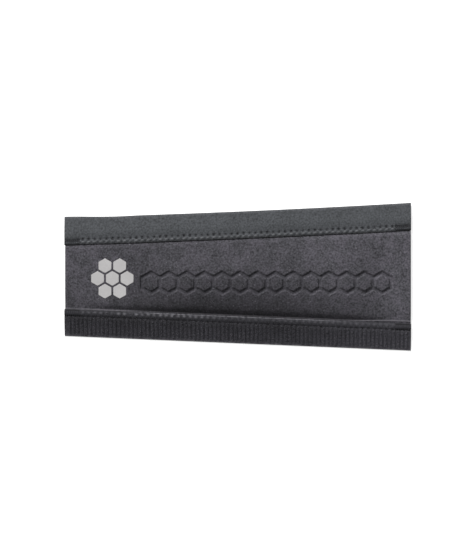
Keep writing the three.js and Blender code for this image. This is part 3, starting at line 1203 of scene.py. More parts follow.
    def _strand_field(self) -> NodeTree:
        """Builds the tree that fills a band of a tape with small strands, in rows.

        Returns:
            The tree.
        """
        band = ("Length", "Width", "Band Centre", "Height", "Row Split")
        inputs = {
            "object": ("Strand",), "int": ("Rows", "Columns", "Seed"), "material": ("Material",),
            "float": (*band, "Jitter", "Turn Jitter", "Lean", *self.LAY),
        }
        nodes, given = new_group("Strand Field", "GeometryNodeTree", inputs, self.WORK)
        joined = nodes.add("GeometryNodeJoinGeometry")
        strand = nodes.add("GeometryNodeObjectInfo", {"Object": given["Strand"]}).outputs["Geometry"]
        for half, sign in enumerate((-1.0, 1.0)):
            grid = nodes.add("GeometryNodeMeshGrid", {
                "Size X": given["Length"], "Size Y": given["Width"],
                "Vertices X": given["Rows"], "Vertices Y": given["Columns"],
            }).outputs["Mesh"]
            seed = nodes.math("ADD", given["Seed"], self.SEEDS_APART * half)
            spread = self._random(nodes, given["Jitter"], seed, self.JITTER_WEIGHTS)
            aside = nodes.combine(
                nodes.times(given["Row Split"], sign),
                nodes.times(given["Band Centre"], given["Way In"]),
                given["Height"],
            )
            shift = nodes.vectors("ADD", aside, spread)
            placed = nodes.add("GeometryNodeSetPosition", {"Geometry": grid, "Offset": shift}).outputs[0]
            next_seed, last_seed = (nodes.math("ADD", seed, step) for step in (1.0, 2.0))
            lean = self._random(nodes, given["Lean"], next_seed, self.LEAN_WEIGHTS)
            swing = self._random(nodes, given["Turn Jitter"], last_seed, self.TURN_WEIGHTS)
            # The second half faces the other way.
            euler = nodes.vectors("ADD", nodes.vectors("ADD", lean, swing), (0.0, 0.0, math.pi * half))
            turn = nodes.add("FunctionNodeEulerToRotation", {0: euler}).outputs[0]
            repeated = nodes.add("GeometryNodeInstanceOnPoints", {
                "Points": placed, "Instance": strand, "Rotation": turn,
            }).outputs[0]
            nodes.feed(joined.inputs[0], nodes.realized(repeated))
        self._finish(nodes, given, joined.outputs[0])
        return nodes.tree

    @staticmethod
    def _random(nodes: NodeBuilder, reach: NodeSocket, seed: NodeSocket, weights: tuple) -> NodeSocket:
        """Adds a seeded random vector for each point.

        Args:
            nodes: The tree's builder.
            reach: How far each part may be from 0.
            seed: The seed.
            weights: How much of the reach X, Y and Z have.

        Returns:
            The vector.
        """
        inputs = {0: tuple(-weight for weight in weights), 1: weights, "Seed": seed}
        node = nodes.add("FunctionNodeRandomValue", inputs, data_type="FLOAT_VECTOR")
        return nodes.scale(node.outputs[0], reach)

    def _finish(self, nodes: NodeBuilder, given: dict, flat: NodeSocket) -> None:
        """Lays flat work on its tape, then ends the tree in Realize Instances and Set Material.

        Args:
            nodes: The tree's builder.
            given: The tree's inputs.
            flat: The flat work.
        """
        laid = nodes.add("GeometryNodeGroup", {"Geometry": flat}, node_tree=self.on_tape)
        for name in self.LAY:
            nodes.feed(laid.inputs[name], given[name])
        inputs = {"Geometry": nodes.realized(laid.outputs[0]), "Material": given["Material"]}
        dressed = nodes.add("GeometryNodeSetMaterial", inputs)
        nodes.add("NodeGroupOutput", {0: dressed.outputs[0]})


def build_with_nodes(name: str, tree: NodeTree, values: dict[str, object], source: Object) -> Object:
    """Runs a geometry node tree and keeps its result as a plain mesh.

    Args:
        name: The piece's name.
        tree: The tree.
        values: The tree's inputs, by name.
        source: The object that the tree repeats. It is deleted afterwards.

    Returns:
        The piece, without a modifier.
    """
    piece = link_object(name, bpy.data.meshes.new(name))
    modifier = piece.modifiers.new("Repeat", "NODES")
    modifier.node_group = tree
    for item in tree.interface.items_tree:
        if item.item_type == "SOCKET" and item.in_out == "INPUT":
            modifier[item.identifier] = values[item.name]
    graph = bpy.context.evaluated_depsgraph_get()
    mesh = bpy.data.meshes.new_from_object(piece.evaluated_get(graph), depsgraph=graph)
    piece.modifiers.remove(modifier)
    empty = piece.data
    piece.data = mesh
    bpy.data.meshes.remove(empty)
    mesh.name = name
    bpy.data.objects.remove(source)
    return piece


def dress(piece: Object, slot: str, *nodes: str) -> None:
    """Fixes a piece to the one body and hides the frame's nodes that it replaces.

    Args:
        piece: The piece.
        slot: The record's material slot. It is not used.
        nodes: The frame's nodes that it replaces.
    """
    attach(piece, "root")
    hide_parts(*nodes)
    log.info("%s: %d faces", piece.name, len(piece.data.polygons))


# Panel


@dataclass(frozen=True)
class Arch:
    """The low wave in which the panel lies between its seams, leaning towards the hook seam."""

    outline: Outline
    lap: Lap
    height: float = 3.8 * MM
    crest_share: float = 0.38
    start: float = -72.6 * MM
    end: float = 112.0 * MM
    run_in: float = 42.0 * MM
    # How much of the painted shade stays where the arch has not risen.
    faint_painted_shade: float = 0.22
    # The painted shade where the arch turns away from the light: where it runs along the arch, its parts by
    # their share of the way across from the hook tape, and their strength at the narrow end and at the wide
    # end. Towards the wide end the panel is made paler.
    shade_run: Ramps = (Ramp(-108 * MM, -60 * MM), Ramp(112 * MM, 35 * MM))
    shade_foot: Ramps = (Ramp(0.32, 0.0, 0.36), Ramp(0.18, 0.03, 0.14))
    shade_flank: Ramp = Ramp(0.76, 0.34)
    shade_brow: Ramp = Ramp(0.88, 1.0)
    flank_at_ends: tuple[float, float] = (0.5, 0.28)
    crest_at_ends: tuple[float, float] = (0.33, 0.08)
    brow_at_ends: tuple[float, float] = (0.3, 0.05)
    wide_end: Ramp = Ramp(5 * MM, 75 * MM)
    # How much paler the panel is made towards its wide end.
    paleness: Ramps = (Ramp(92 * MM, 118 * MM, 0.4), Ramp(40 * MM, 90 * MM, 0.08))

    def envelope(self, x: Array) -> Array:
        """Finds how fully the arch has risen along the protector: not at its ends, fully between."""
        rise = smoothstep(x, self.start, self.start + self.run_in)
        return rise * smoothstep(-x, -self.end, -self.end + self.run_in)

    def _share(self, x: Array, y: Array) -> Array:
        """Finds how far across the panel each place is: 0 by the hook tape and 1 by the loop tape."""
        low = self.outline.across(LongEdge.HOOK, x, self.lap.shoulder_foot + self.lap.lip_room)
        high = self.outline.across(LongEdge.LOOP, x, self.lap.shoulder_foot)
        return np.clip((y - low) / (high - low), 0.0, 1.0)

    def lift(self, x: Array, y: Array) -> Array:
        """Finds how high the panel's underside is lifted."""
        power = math.log(0.5) / math.log(self.crest_share)
        return self.height * self.envelope(x) * np.sin(math.pi * self._share(x, y) ** power)

    def painted_shade(self, x: Array, y: Array) -> Array:
        """Finds how much shade is painted on the jersey, most on the arch's flank by the hook seam, which
        turns away from the light.

        Args:
            x: Places along the protector.
            y: Places across it.

        Returns:
            The strength, up to about 1, and a little below 0 where the wide end is made paler.
        """
        share = self._share(x, y)
        flank, crest, brow = (
            narrow + (wide - narrow) * self.wide_end.at(x)
            for narrow, wide in (self.flank_at_ends, self.crest_at_ends, self.brow_at_ends)
        )
        run = self.shade_run[0].at(x) * self.shade_run[1].at(x)
        laid = total(self.shade_foot, share) + flank * self.shade_flank.at(share) + crest
        shown = self.faint_painted_shade + (1 - self.faint_painted_shade) * run
        return shown * laid + brow * self.shade_brow.at(share) - total(self.paleness, x)


@dataclass(frozen=True)
class HoneycombStrip:
    """A row of hexagonal cells pressed into the panel's outer face."""

    first_x: float = -62.5 * MM
    centre_y: float = -4.5 * MM
    pitch: float = 12.8 * MM
    groove_width: float = 2.4 * MM
    depth: float = 0.75 * MM
    cell_count: int = 14
    soft_edge: float = 0.38 * MM
    lip: float = 0.12 * MM
    pillow: float = 0.2 * MM
    lip_place: float = 0.7 * MM
    lip_reach: float = 0.5 * MM

    @property
    def half_height(self) -> float:
        """Half of the strip's extent across the panel."""
        return (self.pitch + self.groove_width) / math.sqrt(3)

    def relief(self, x: Array, y: Array) -> tuple[Array, Array]:
        """Works out the strip's relief.

        Args:
            x: Places along the protector.
            y: Places across it.

        Returns:
            The height to add to the plain face, and how strongly each place is pressed.
        """
        cell = np.clip(np.round((x - self.first_x) / self.pitch), 0, self.cell_count - 1)
        beside = np.abs(x - self.first_x - cell * self.pitch)
        above = np.abs(y - self.centre_y)
        reach = np.maximum(beside, beside / 2 + above * math.sqrt(3) / 2)
        off = np.abs(reach - self.pitch / 2)
        half = self.groove_width / 2
        pressed = 1 - smoothstep(off, half - self.soft_edge, half + self.soft_edge)
        lip = hump(off, half + self.lip_place, self.lip_reach)
        inner = self.pitch / 2 - half
        pillow = np.clip(1 - (reach / inner) ** 2, 0, 1)
        return self.lip * lip + self.pillow * pillow - self.depth * pressed, pressed


@dataclass(frozen=True)
class NeoprenePanel:
    """The foam laminate panel: one sheet, pressed thin under both tapes."""

    outline: Outline
    lap: Lap
    arch: Arch
    strip: HoneycombStrip
    seams: tuple[Seam, Seam]
    thickness: float = 3.0 * MM
    end_inset: float = 0.6 * MM
    wide_end_inset: float = 0.2 * MM
    shoulder_width: float = 4.0 * MM
    row_step: float = 0.7 * MM
    fine_step: float = 0.42 * MM
    plain_step: float = 0.95 * MM
    end_roll: float = 0.3 * MM
    pucker: float = 0.16 * MM
    unevenness: float = 0.1 * MM
    lip_height: float = 0.46 * MM
    lip_width: float = 0.55 * MM
    # How much of the lip's height comes and goes along the protector.
    lip_fade: Ramps = (
        Ramp(-30 * MM, -54 * MM, -0.62), Ramp(-66 * MM, -84 * MM, 0.27),
        Ramp(-95 * MM, -118 * MM, -0.25), Ramp(95 * MM, 118 * MM, -0.16),
    )
    lip_at_middle: float = 0.6
    # Where and how strongly a highlight is painted on the lip's side that faces the light.
    lip_highlight_reach: float = 0.45 * MM
    lip_highlight_gain: float = 1.5
    # Painted shade beside the loop tape at its backtacks, fading out away from the tape.
    shade_beside_tacks_width: Ramp = Ramp(2.0 * MM, 0.6 * MM, 0.9)
    # The valley in the inner face, from the cut edge and from the shoulder's foot.
    valley_rise: Ramp = Ramp(0.4 * MM, 1.4 * MM)
    valley_fall: Ramp = Ramp(1.0 * MM, -0.2 * MM)
    steeper_at_ends: Ramps = (Ramp(-92 * MM, -116 * MM, 0.7), Ramp(92 * MM, 116 * MM, 0.56))
    pressed_under_tape: float = 0.6
    pucker_reach: float = 1.8 * MM
    # Lengths along X and Y, and the start, of the two waves that the face isn't quite even by.
    waves: tuple[tuple[float, float, float], ...] = ((9 * MM, 23 * MM, 0.0), (23 * MM, -6 * MM, 1.3))
    wave_margin: float = 6 * MM
    roll_reach: float = 0.45 * MM
    lower_roll: float = 0.2 * MM
    wall_steps: int = 4
    wall_bulge: float = 0.12 * MM
    lap_step: float = 0.85 * MM
    shoulder_step: float = 0.34 * MM
    strip_margin: float = 1.5 * MM

    def lip(self, x: Array, distance: Array) -> tuple[Array, Array]:
        """Finds the narrow lip beside the hook tape, which parts from the tape towards both ends.

        Args:
            x: Places along the protector.
            distance: Distances in from the hook edge.

        Returns:
            The lip's height from 0 to 1, and how strongly a highlight is painted on its inner side, which
            faces the light.
        """
        shown, away = self.lap.parting(x)
        off = distance - self.lap.tape_width - away
        ends = np.maximum(shown, self.lip_at_middle) * (1 + total(self.lip_fade, x))
        highlight_paint = hump(off, self.lip_highlight_reach, self.lip_highlight_reach) * np.minimum(self.lip_highlight_gain * ends, 1.0)
        return hump(off, 0.0, self.lip_width) * ends, highlight_paint

    @property
    def ends(self) -> tuple[float, float]:
        """Places of the two cut ends along X."""
        return self.end_inset - self.outline.half_length, self.outline.half_length - self.wide_end_inset

    def from_end(self, x: Array) -> Array:
        """Finds the distance in from the nearer cut end."""
        return np.minimum(x - self.ends[0], self.ends[1] - x)

    def shade_beside_tacks(self, x: Array, distance: Array) -> Array:
        """Finds how strongly shade is painted on the jersey beside the loop tape, where its seam is sewn back
        and forth.
        """
        return self.seams[1].tacked(x) * self.shade_beside_tacks_width.at(distance - self.lap.tape_width)

    def distances(self, x: Array, y: Array) -> tuple[Array, Array]:
        """Finds the distances in from the hook edge and from the loop edge."""
        hook = y - self.outline.edge(LongEdge.HOOK, x)
        return hook, self.outline.edge(LongEdge.LOOP, x) - y

    def _side_top(self, distance: Array) -> Array:
        """Finds the outer face's height at a distance in from a long edge, without the arch."""
        share = np.clip((distance - self.lap.shoulder_foot) / self.shoulder_width, 0, 1)
        return self.lap.height + (self.thickness - self.lap.height) * np.sin(share * math.pi / 2)

    def _side_low(self, distance: Array) -> Array:
        """Finds the inner face's height at a distance in from a long edge, without the arch."""
        into = self.valley_rise.at(distance - self.lap.cut_edge)
        return self.lap.valley_height * into * self.valley_fall.at(distance - self.lap.shoulder_foot)

    def outer_face(self, x: Array, y: Array) -> tuple[Array, Array]:
        """Works out the outer face.

        Args:
            x: Places along the protector.
            y: Places across it.

        Returns:
            The height of each place, and how strongly it is pressed.
        """
        hook, loop = self.distances(x, y)
        foot = self.lap.shoulder_foot
        eased = 1 - total(self.steeper_at_ends, x)
        beside_lip = foot + eased * (hook - self.lap.lip_room - foot)
        relief, pressed = self.strip.relief(x, y)
        height = np.minimum(self._side_top(beside_lip), self._side_top(loop)) + relief + self.arch.lift(x, y)
        for seam, distance in zip(self.seams, (hook, loop)):
            start, step, _ = seam.runs()[1]
            fade = np.exp(-np.clip(distance - foot, 0, None) / self.pucker_reach)
            height = height - self.pucker * fade * (0.5 + 0.5 * np.cos(math.pi * (x - start) / step))
        middle = smoothstep(np.minimum(hook, loop), foot, foot + self.wave_margin)
        wave = sum(np.sin(x / along + y / across + start) for along, across, start in self.waves)
        height = height + self.unevenness * middle * wave / 2
        height = height - self.end_roll * hump(self.from_end(x), 0.0, self.roll_reach)
        return height + self.lip_height * self.lip(x, hook)[0], pressed

    def _grid(self) -> tuple[Array, Array]:
        """Lays out the grid, with fine columns where the honeycomb strip runs.

        Returns:
            The X and Y of each grid point.
        """
        x = steps_between(*self.ends, self.row_step)
        foot = self.lap.shoulder_foot
        lap_steps = steps_between(self.lap.cut_edge, foot, self.lap_step)
        shoulder = steps_between(foot, foot + self.shoulder_width, self.shoulder_step)[1:]
        side = np.concatenate([lap_steps, shoulder])
        low = self.outline.across(LongEdge.HOOK, x, side[-1])
        high = self.outline.across(LongEdge.LOOP, x, side[-1])
        near = x > self.strip.first_x - self.strip.pitch
        reach = self.strip.half_height + self.strip_margin
        band_low = ((self.strip.centre_y - reach - low) / (high - low))[near].min()
        band_high = ((self.strip.centre_y + reach - low) / (high - low))[near].max()
        width = float((high - low).mean())
        shares = np.concatenate([
            steps_between(0, band_low, self.plain_step / width)[:-1],
            steps_between(band_low, band_high, self.fine_step / width),
            steps_between(band_high, 1, self.plain_step / width)[1:],
        ])
        middle = low[:, None] + (high - low)[:, None] * shares[None, 1:-1]
        hook = self.outline.across(LongEdge.HOOK, x[:, None], side[None, :])
        loop = self.outline.across(LongEdge.LOOP, x[:, None], side[None, ::-1])
        y = np.concatenate([hook, middle, loop], axis=1)
        return np.broadcast_to(x[:, None], y.shape), y

    def build(self, jersey: Material, foam: Material) -> None:
        """Builds the panel.

        Args:
            jersey: The material of both faces.
            foam: The material of the cut edges.
        """
        x, y = self._grid()
        high, pressed = self.outer_face(x, y)
        hook, loop = self.distances(x, y)
        low = self._side_low(hook) + self._side_low(loop) + self.arch.lift(x, y)
        low = low + self.lower_roll * hump(self.from_end(x), 0.0, self.roll_reach)
        under_tape = (np.minimum(hook, loop) < self.lap.shoulder_foot).astype(float)
        values = {
            "pressed": np.maximum(pressed, self.pressed_under_tape * under_tape),
            # Painted shade on the arch's side away from the light and beside the loop seam's backtacks, less
            # at the paler wide end.
            "painted_shade": self.arch.painted_shade(x, y) + self.shade_beside_tacks(x, loop),
            # Painted highlight on the lip's side that faces the light.
            "lip": self.lip(x, hook)[1],
        }
        sheet = ClosedSheet(x, y, low, high, values, self.wall_steps, self.wall_bulge)
        panel = link_object("panel", sheet.build("panel", jersey, foam))
        dress(panel, "jersey_laminate", "neoprene_panel")


# Tapes


@dataclass(frozen=True)
class SeamRelief:
    """How a seam shapes the tape over it: a crown between the rows of holes, with each stitch sunk in."""

    crown: float = 0.32 * MM
    crown_centre: float = 17.3 * MM
    crown_reach: float = 2.3 * MM
    line_depth: float = 0.12 * MM
    leg_depth: float = 0.12 * MM
    hole_depth: float = 0.42 * MM
    thread_sink: float = 0.14 * MM
    edge_hold: float = 1.0
    # Distances from the inner row of holes: where the edge holds its shape, and the rim beyond it.
    edge_kept: Ramp = Ramp(-1.4 * MM, -0.4 * MM)
    rim: Ramp = Ramp(-0.9 * MM, -0.1 * MM)
    line_reach: float = 0.55 * MM
    tacked_line_inset: float = 0.35 * MM
    tacked_line_spread: float = 0.2 * MM
    tacked_ridge: float = 0.1 * MM
    tacked_ridge_reach: float = 0.8 * MM
    tacked_ridge_inset: float = 0.1 * MM
    tacked_rim_depth: float = 0.12 * MM
    tacked_line_gain: float = 2.2
    # How much shade is painted on the tape where a backtack draws it in, under a leg and in a hole.
    drawn_shade: float = 1.2
    leg_shade: float = 0.1
    hole_shade: float = 1.25
    tacked_hole_fading: float = 0.6

    def height(self, seam: Seam, pillow: Array, x: Array, distance: Array) -> tuple[Array, Array, Array]:
        """Works out what the seam adds to the tape's outer face.

        Args:
            seam: The seam.
            pillow: How high the cloth swells between its legs, at each place.
            x: Places along the protector.
            distance: Distances in from the tape's outer edge.

        Returns:
            The height to add, how strongly each place is pressed, with the shade painted in holes, under legs
            and along a backtack's line and rim, and how strongly it swells.
        """
        legs, holes = seam.press(x, distance)
        swell = seam.pillows(x, distance)
        tacked = seam.tacked(x)
        kept = 1 - (1 - self.edge_hold) * self.edge_kept.at(distance - seam.inner)
        crown = np.clip(1 - ((distance - self.crown_centre) / self.crown_reach) ** 2, 0, 1)
        line_place = seam.outer + self.tacked_line_inset * tacked
        line = hump(distance, line_place, self.line_reach + self.tacked_line_spread * tacked)
        added = self.crown * crown - self.line_depth * (1 + self.tacked_line_gain * tacked) * line
        added = added + pillow * swell - kept * (self.leg_depth * legs + self.hole_depth * holes)
        rim = self.rim.at(distance - seam.inner)
        # Painted shade along a backtack's line and the rim beside it.
        tack_shade = np.minimum(self.drawn_shade * tacked * np.maximum(line, rim), 1.0)
        ridge_place = (seam.outer + seam.inner) / 2 + self.tacked_ridge_inset
        ridge = self.tacked_ridge * hump(distance, ridge_place, self.tacked_ridge_reach)
        added = added + tacked * (ridge - self.tacked_rim_depth * rim)
        # Painted shade in the needle holes and under the legs.
        holes = self.hole_shade * holes * (1 - self.tacked_hole_fading * tacked)
        pressed = np.maximum(self.leg_shade * legs, np.minimum(holes, 1.0))
        return added, np.maximum(pressed * kept, tack_shade), swell


@dataclass(frozen=True)
class SewnTape:
    """A tape sewn along a long edge, lapped over the panel and flat on the table beyond it."""

    outline: Outline
    lap: Lap
    seam: Seam
    relief: SeamRelief
    trees: RepeatTrees
    side: LongEdge
    thickness: float
    lapped_thickness: float
    free_thickness: float
    row_step: float = 0.36 * MM
    fine_step: float = 0.36 * MM
    plain_step: float = 0.85 * MM
    pillow: float = 0.36 * MM
    edge_roll: float = 0.2 * MM
    outer_roll: float = 0.06 * MM
    inner_roll: float = 0.0
    inner_roll_width: float = 0.5 * MM
    # Width of the paler inner rim: partly the selvedge's own weave, partly painted highlight.
    selvedge: float = 0.5 * MM
    # How much of the inner rim's roll and painted highlight is kept at the ends.
    inner_rim_at_ends: float = 1.0
    outer_paleness: float = 0.6
    puckered: float = 0.0
    end_spread: float = 0.0
    edge_shade: float = 0.0
    unevenness: float = 0.05 * MM
    roll_reach: float = 0.3 * MM
    end_roll: float = 0.12 * MM
    end_roll_reach: float = 0.35 * MM
    thinned_past_free: float = 1.5 * MM
    fine_margin: float = 1.2 * MM
    edge_steps: tuple[float, float] = (0.25 * MM, 0.7 * MM)
    lap_blend: float = 3.0 * MM
    selvedge_rim: float = 0.2 * MM
    sharp_angle: float = 50.0  # degrees
    # Two lengths along X, one across and the start of the waves in the free part.
    waves: tuple[float, float, float, float] = (13 * MM, 31 * MM, 5 * MM, 0.7)
    # How the tape spreads: its seam inward, its outer edge outward, but for the waist, which has a
    # place, a reach and an amount.
    spread_from: float = 6 * MM
    spread_in: Ramps = (
        Ramp(-50 * MM, -70 * MM, 0.25), Ramp(-110 * MM, -119 * MM, 0.6), Ramp(60 * MM, 90 * MM, 0.4),
    )
    spread_out: Ramp = Ramp(-98 * MM, -124 * MM, 0.75)
    waist: tuple[float, float, float] = (-88 * MM, 12 * MM, 0.4)
    puckered_from: Ramp = Ramp(-10 * MM, -36 * MM)
    puckered_less: Ramp = Ramp(-84 * MM, -112 * MM, 0.7)
    # Pillow height at which the painted highlight on a pillow is full.
    full_highlight_pillow: float = 0.3 * MM
    # How far in from the inner edge the painted shade on it reaches.
    inner_edge_shade_width: Ramp = Ramp(0.8 * MM, 0.1 * MM)
    outer_paleness_width: Ramp = Ramp(2.0 * MM, 0.4 * MM)

    @property
    def thinned_width(self) -> float:
        """Width over which the tape thins evenly, from its outer edge to the lap."""
        return self.lap.free_width + self.thinned_past_free

    @property
    def top_slope(self) -> float:
        """Slope of the tape's outer face where it is free."""
        return self.lap.free_slope - (self.free_thickness - self.lapped_thickness) / self.thinned_width

    def spread(self, x: Array, distance: Array) -> Array:
        """Works out how the tape spreads towards its ends, most of all at the narrow one.

        Args:
            x: Places along the protector.
            distance: Distances in from the tape's outer edge.

        Returns:
            How much further in each place lies, below 0 where it lies further out.
        """
        place, reach, amount = self.waist
        outward = self.spread_out.at(x) - amount * hump(x, place, reach)
        near_seam = smoothstep(distance, self.spread_from, self.seam.outer)
        return self.end_spread * (total(self.spread_in, x) * near_seam - outward * (1 - near_seam))

    def grid(self) -> tuple[Array, Array]:
        """Lays out the grid, with fine columns where the seam runs.

        Returns:
            The X of each grid point and its distance in from the tape's outer edge.
        """
        half = self.outline.half_length
        fine_from = self.seam.outer - self.fine_margin
        distance = np.concatenate([
            np.array([0.0, self.edge_steps[0]]),
            steps_between(self.edge_steps[1], fine_from, self.plain_step)[:-1],
            steps_between(fine_from, self.lap.tape_width, self.fine_step),
        ])
        if self.side is LongEdge.LOOP:
            distance = distance[::-1]
        x = steps_between(-half, half, self.row_step)
        return np.meshgrid(x, distance, indexing="ij")

    def build_cloth(self, name: str, material: Material) -> Object:
        """Builds the woven cloth of the tape.

        Args:
            name: The piece's name.
            material: Its material.

        Returns:
            The cloth.
        """
        x, distance = self.grid()
        y = self.outline.across(self.side, x, distance + self.spread(x, distance))
        rise = self.lap.tape_rise(distance)
        puckers = self.puckered_from.at(x) * (1 - self.puckered_less.at(x))
        pillow = self.pillow * (1 + self.puckered * puckers)
        added, pressed, swell = self.relief.height(self.seam, pillow, x, distance)
        short, long, across, start = self.waves
        wave = np.sin(x / short + distance / across) * np.sin(x / long + start)
        free = 1 - smoothstep(distance, 0, self.lap.free_width)
        loose = 1 - np.clip(distance / self.thinned_width, 0, 1)
        stack = self.lapped_thickness + (self.free_thickness - self.lapped_thickness) * loose
        high = rise + stack + added + self.unevenness * wave * free
        inner = self.lap.tape_width - distance
        at_ends = 1 - (1 - self.inner_rim_at_ends) * self.lap.parting(x)[0]
        high = high - self.edge_roll * hump(inner, 0.0, self.roll_reach)
        high = high - self.outer_roll * hump(distance, 0.0, self.roll_reach)
        high = high - self.inner_roll * at_ends * hump(inner, 0.0, self.inner_roll_width)
        high = high - self.end_roll * hump(self.outline.half_length - np.abs(x), 0.0, self.end_roll_reach)
        lapped = smoothstep(distance, self.lap.free_width - self.lap_blend, self.lap.free_width)
        low = rise + (stack - self.thickness) * (1 - lapped)
        selvedge = smoothstep(-inner, -self.selvedge, -self.selvedge_rim)
        # Painted highlight on the pillows between stitches.
        swollen = swell * np.minimum(1.0, pillow / self.full_highlight_pillow)
        outer = self.outer_paleness * self.outer_paleness_width.at(distance)
        # Painted shade on the hook tape's inner edge towards both ends, where the panel's lip parts from it.
        inner_edge_shade = self.edge_shade * self.lap.parting(x)[0] * self.inner_edge_shade_width.at(inner)
        values = {
            # Pressed places with the shade painted in them, and the painted shade on the inner edge.
            "pressed": np.maximum(pressed, inner_edge_shade),
            "along_tape": np.stack([x, distance, high], axis=-1),
            # Painted highlight on the pillows and on the inner rim, which is partly the selvedge's own tone,
            # and the paler outer edge.
            "pale_and_highlight": np.maximum(np.maximum(swollen, selvedge * at_ends), outer),
        }
        sheet = ClosedSheet(x, y, low, high, values)
        return link_object(name, sheet.build(name, material, material, self.sharp_angle))

    def lay_values(self, rise: float, crown: float) -> dict[str, float]:
        """Gives the inputs that lay flat work on this tape.

        Args:
            rise: Height of the lap that the work climbs.
            crown: Height of the seam's crown that the work climbs.

        Returns:
            The inputs, by name.
        """
        bow = self.outline.loop_edge_bow if self.side is LongEdge.LOOP else 0.0
        return {
            "Half Width": self.outline.half_width_at_middle,
            "Slope": self.outline.edge_slope,
            "Bow": bow,
            "Half Length": self.outline.half_length,
            "Way In": float(self.side.value),
            "Rise": rise,
            "Free Slope": self.lap.free_slope if rise else 0.0,
            "Bend": self.lap.bend,
            "Crown": crown,
            "Crown Centre": self.relief.crown_centre,
            "Crown Reach": self.relief.crown_reach,
        }

    def build(
        self, node: str, names: tuple[str, str], materials: tuple[Material, Material],
        strand: Object, band: tuple[float, float], values: dict[str, object],
    ) -> None:
        """Builds the tape's cloth, and the strands that fill a band of it.

        Args:
            node: The frame's node that both stand for, and the material slot's name.
            names: The names of the cloth and of the strands.
            materials: The materials of the cloth and of the strands.
            strand: The strand that is repeated.
            band: Where the strands start and end, in from the tape's outer edge.
            values: The Strand Field's other inputs, by name.
        """
        cloth = self.build_cloth(names[0], materials[0])
        strands = build_with_nodes(names[1], self.trees.strand_field, {
            "Strand": strand,
            "Width": band[1] - band[0],
            "Band Centre": (band[0] + band[1]) / 2,
            **self.lay_values(self.lap.height, 0.0),
            "Material": materials[1],
            **values,
        }, strand)
        for piece in (cloth, strands):
            dress(piece, node, node)


@dataclass(frozen=True)
class LoopTape:
    """The tape with a pile of loops on its inner face."""

    tape: SewnTape
    pile_height: float = 0.95 * MM
    belly: float = 0.25
    lean: float = 0.3
    loop_width: float = 1.3 * MM
    arc_steps: int = 6
    strand: float = 0.13 * MM
    rows: int = 150
    columns: int = 8
    band: tuple[float, float] = (1.2 * MM, 10.8 * MM)
    seed: int = 31
    end_margin: float = 1.2 * MM
    row_split: float = 0.42 * MM
    jitter: float = 0.35 * MM
    root: float = 0.05 * MM

    def _loop(self, material: Material) -> Object:
        """Builds one loop of the pile, hanging from the cloth."""
        path = []
        for turn in half_turn(self.arc_steps):
            path.append((
                -self.loop_width / 2 * math.cos(turn) * (1.0 + self.belly * math.sin(turn)), 0.0,
                -(self.pile_height - self.strand) * math.sin(turn),
            ))
        loop = Wire(tuple(path), self.strand, self.strand, sides=4, end_share=1.0)
        return loop.build("pile_loop", material)

    def build(self, weave: Material, pile: Material) -> None:
        """Builds the woven cloth and its pile.

        Args:
            weave: The material of the cloth.
            pile: The material of the loops.
        """
        names = ("loop_tape_cloth", "loop_tape_pile")
        self.tape.build("loop_tape", names, (weave, pile), self._loop(pile), self.band, {
            "Length": self.tape.outline.length - 2 * self.end_margin,
            "Rows": self.rows,
            "Columns": self.columns,
            "Height": self.tape.free_thickness - self.tape.thickness + self.root,
            "Row Split": self.row_split,
            "Jitter": self.jitter,
            "Turn Jitter": math.pi,
            "Lean": self.lean,
            "Seed": self.seed,
            "Free Slope": self.tape.top_slope,
        })


@dataclass(frozen=True)
class HookTape:
    """The tape with rows of hooks on its outer face."""

    tape: SewnTape
    hook_height: float = 1.05 * MM
    hook_reach: float = 0.55 * MM
    turn_jitter: float = 0.7
    lean: float = 0.18
    stem_width_share: float = 1.3
    knee_share: float = 0.55
    tip_share: float = 0.9
    arc_steps: int = 4
    strand: float = 0.11 * MM
    row_pitch: float = 3.0 * MM
    row_split: float = 0.42 * MM
    columns: int = 13
    band: tuple[float, float] = (2.2 * MM, 14.3 * MM)
    seed: int = 7
    jitter: float = 0.2 * MM
    tip_drop: float = 0.18 * MM
    root: float = 0.1 * MM

    def _hook(self, material: Material) -> Object:
        """Builds one hook: a stem that bends over at its top."""
        bend = self.hook_reach / 2
        stem = self.hook_height - bend - self.strand
        path = [(-bend, 0.0, -self.root), (-bend, 0.0, stem * self.knee_share)]
        for turn in half_turn(self.arc_steps):
            path.append((-bend * math.cos(turn), 0.0, stem + bend * math.sin(turn)))
        path.append((bend * self.tip_share, 0.0, stem - self.tip_drop))
        width = self.strand * self.stem_width_share
        hook = Wire(tuple(path), width, self.strand, sides=4, end_share=0.7)
        return hook.build("single_hook", material)

    def build(self, backing: Material, hooks: Material) -> None:
        """Builds the woven backing and its hooks.

        Args:
            backing: The material of the backing.
            hooks: The material of the hooks.
        """
        rows = int((self.tape.outline.length - self.row_pitch) // self.row_pitch)
        names = ("hook_tape_backing", "hook_tape_hooks")
        self.tape.build("hook_tape", names, (backing, hooks), self._hook(hooks), self.band, {
            "Length": (rows - 1) * self.row_pitch,
            "Rows": rows,
            "Columns": self.columns,
            "Height": self.tape.thickness,
            "Row Split": self.row_split,
            "Jitter": self.jitter,
            "Turn Jitter": self.turn_jitter,
            "Lean": self.lean,
            "Seed": self.seed,
        })


# Threads


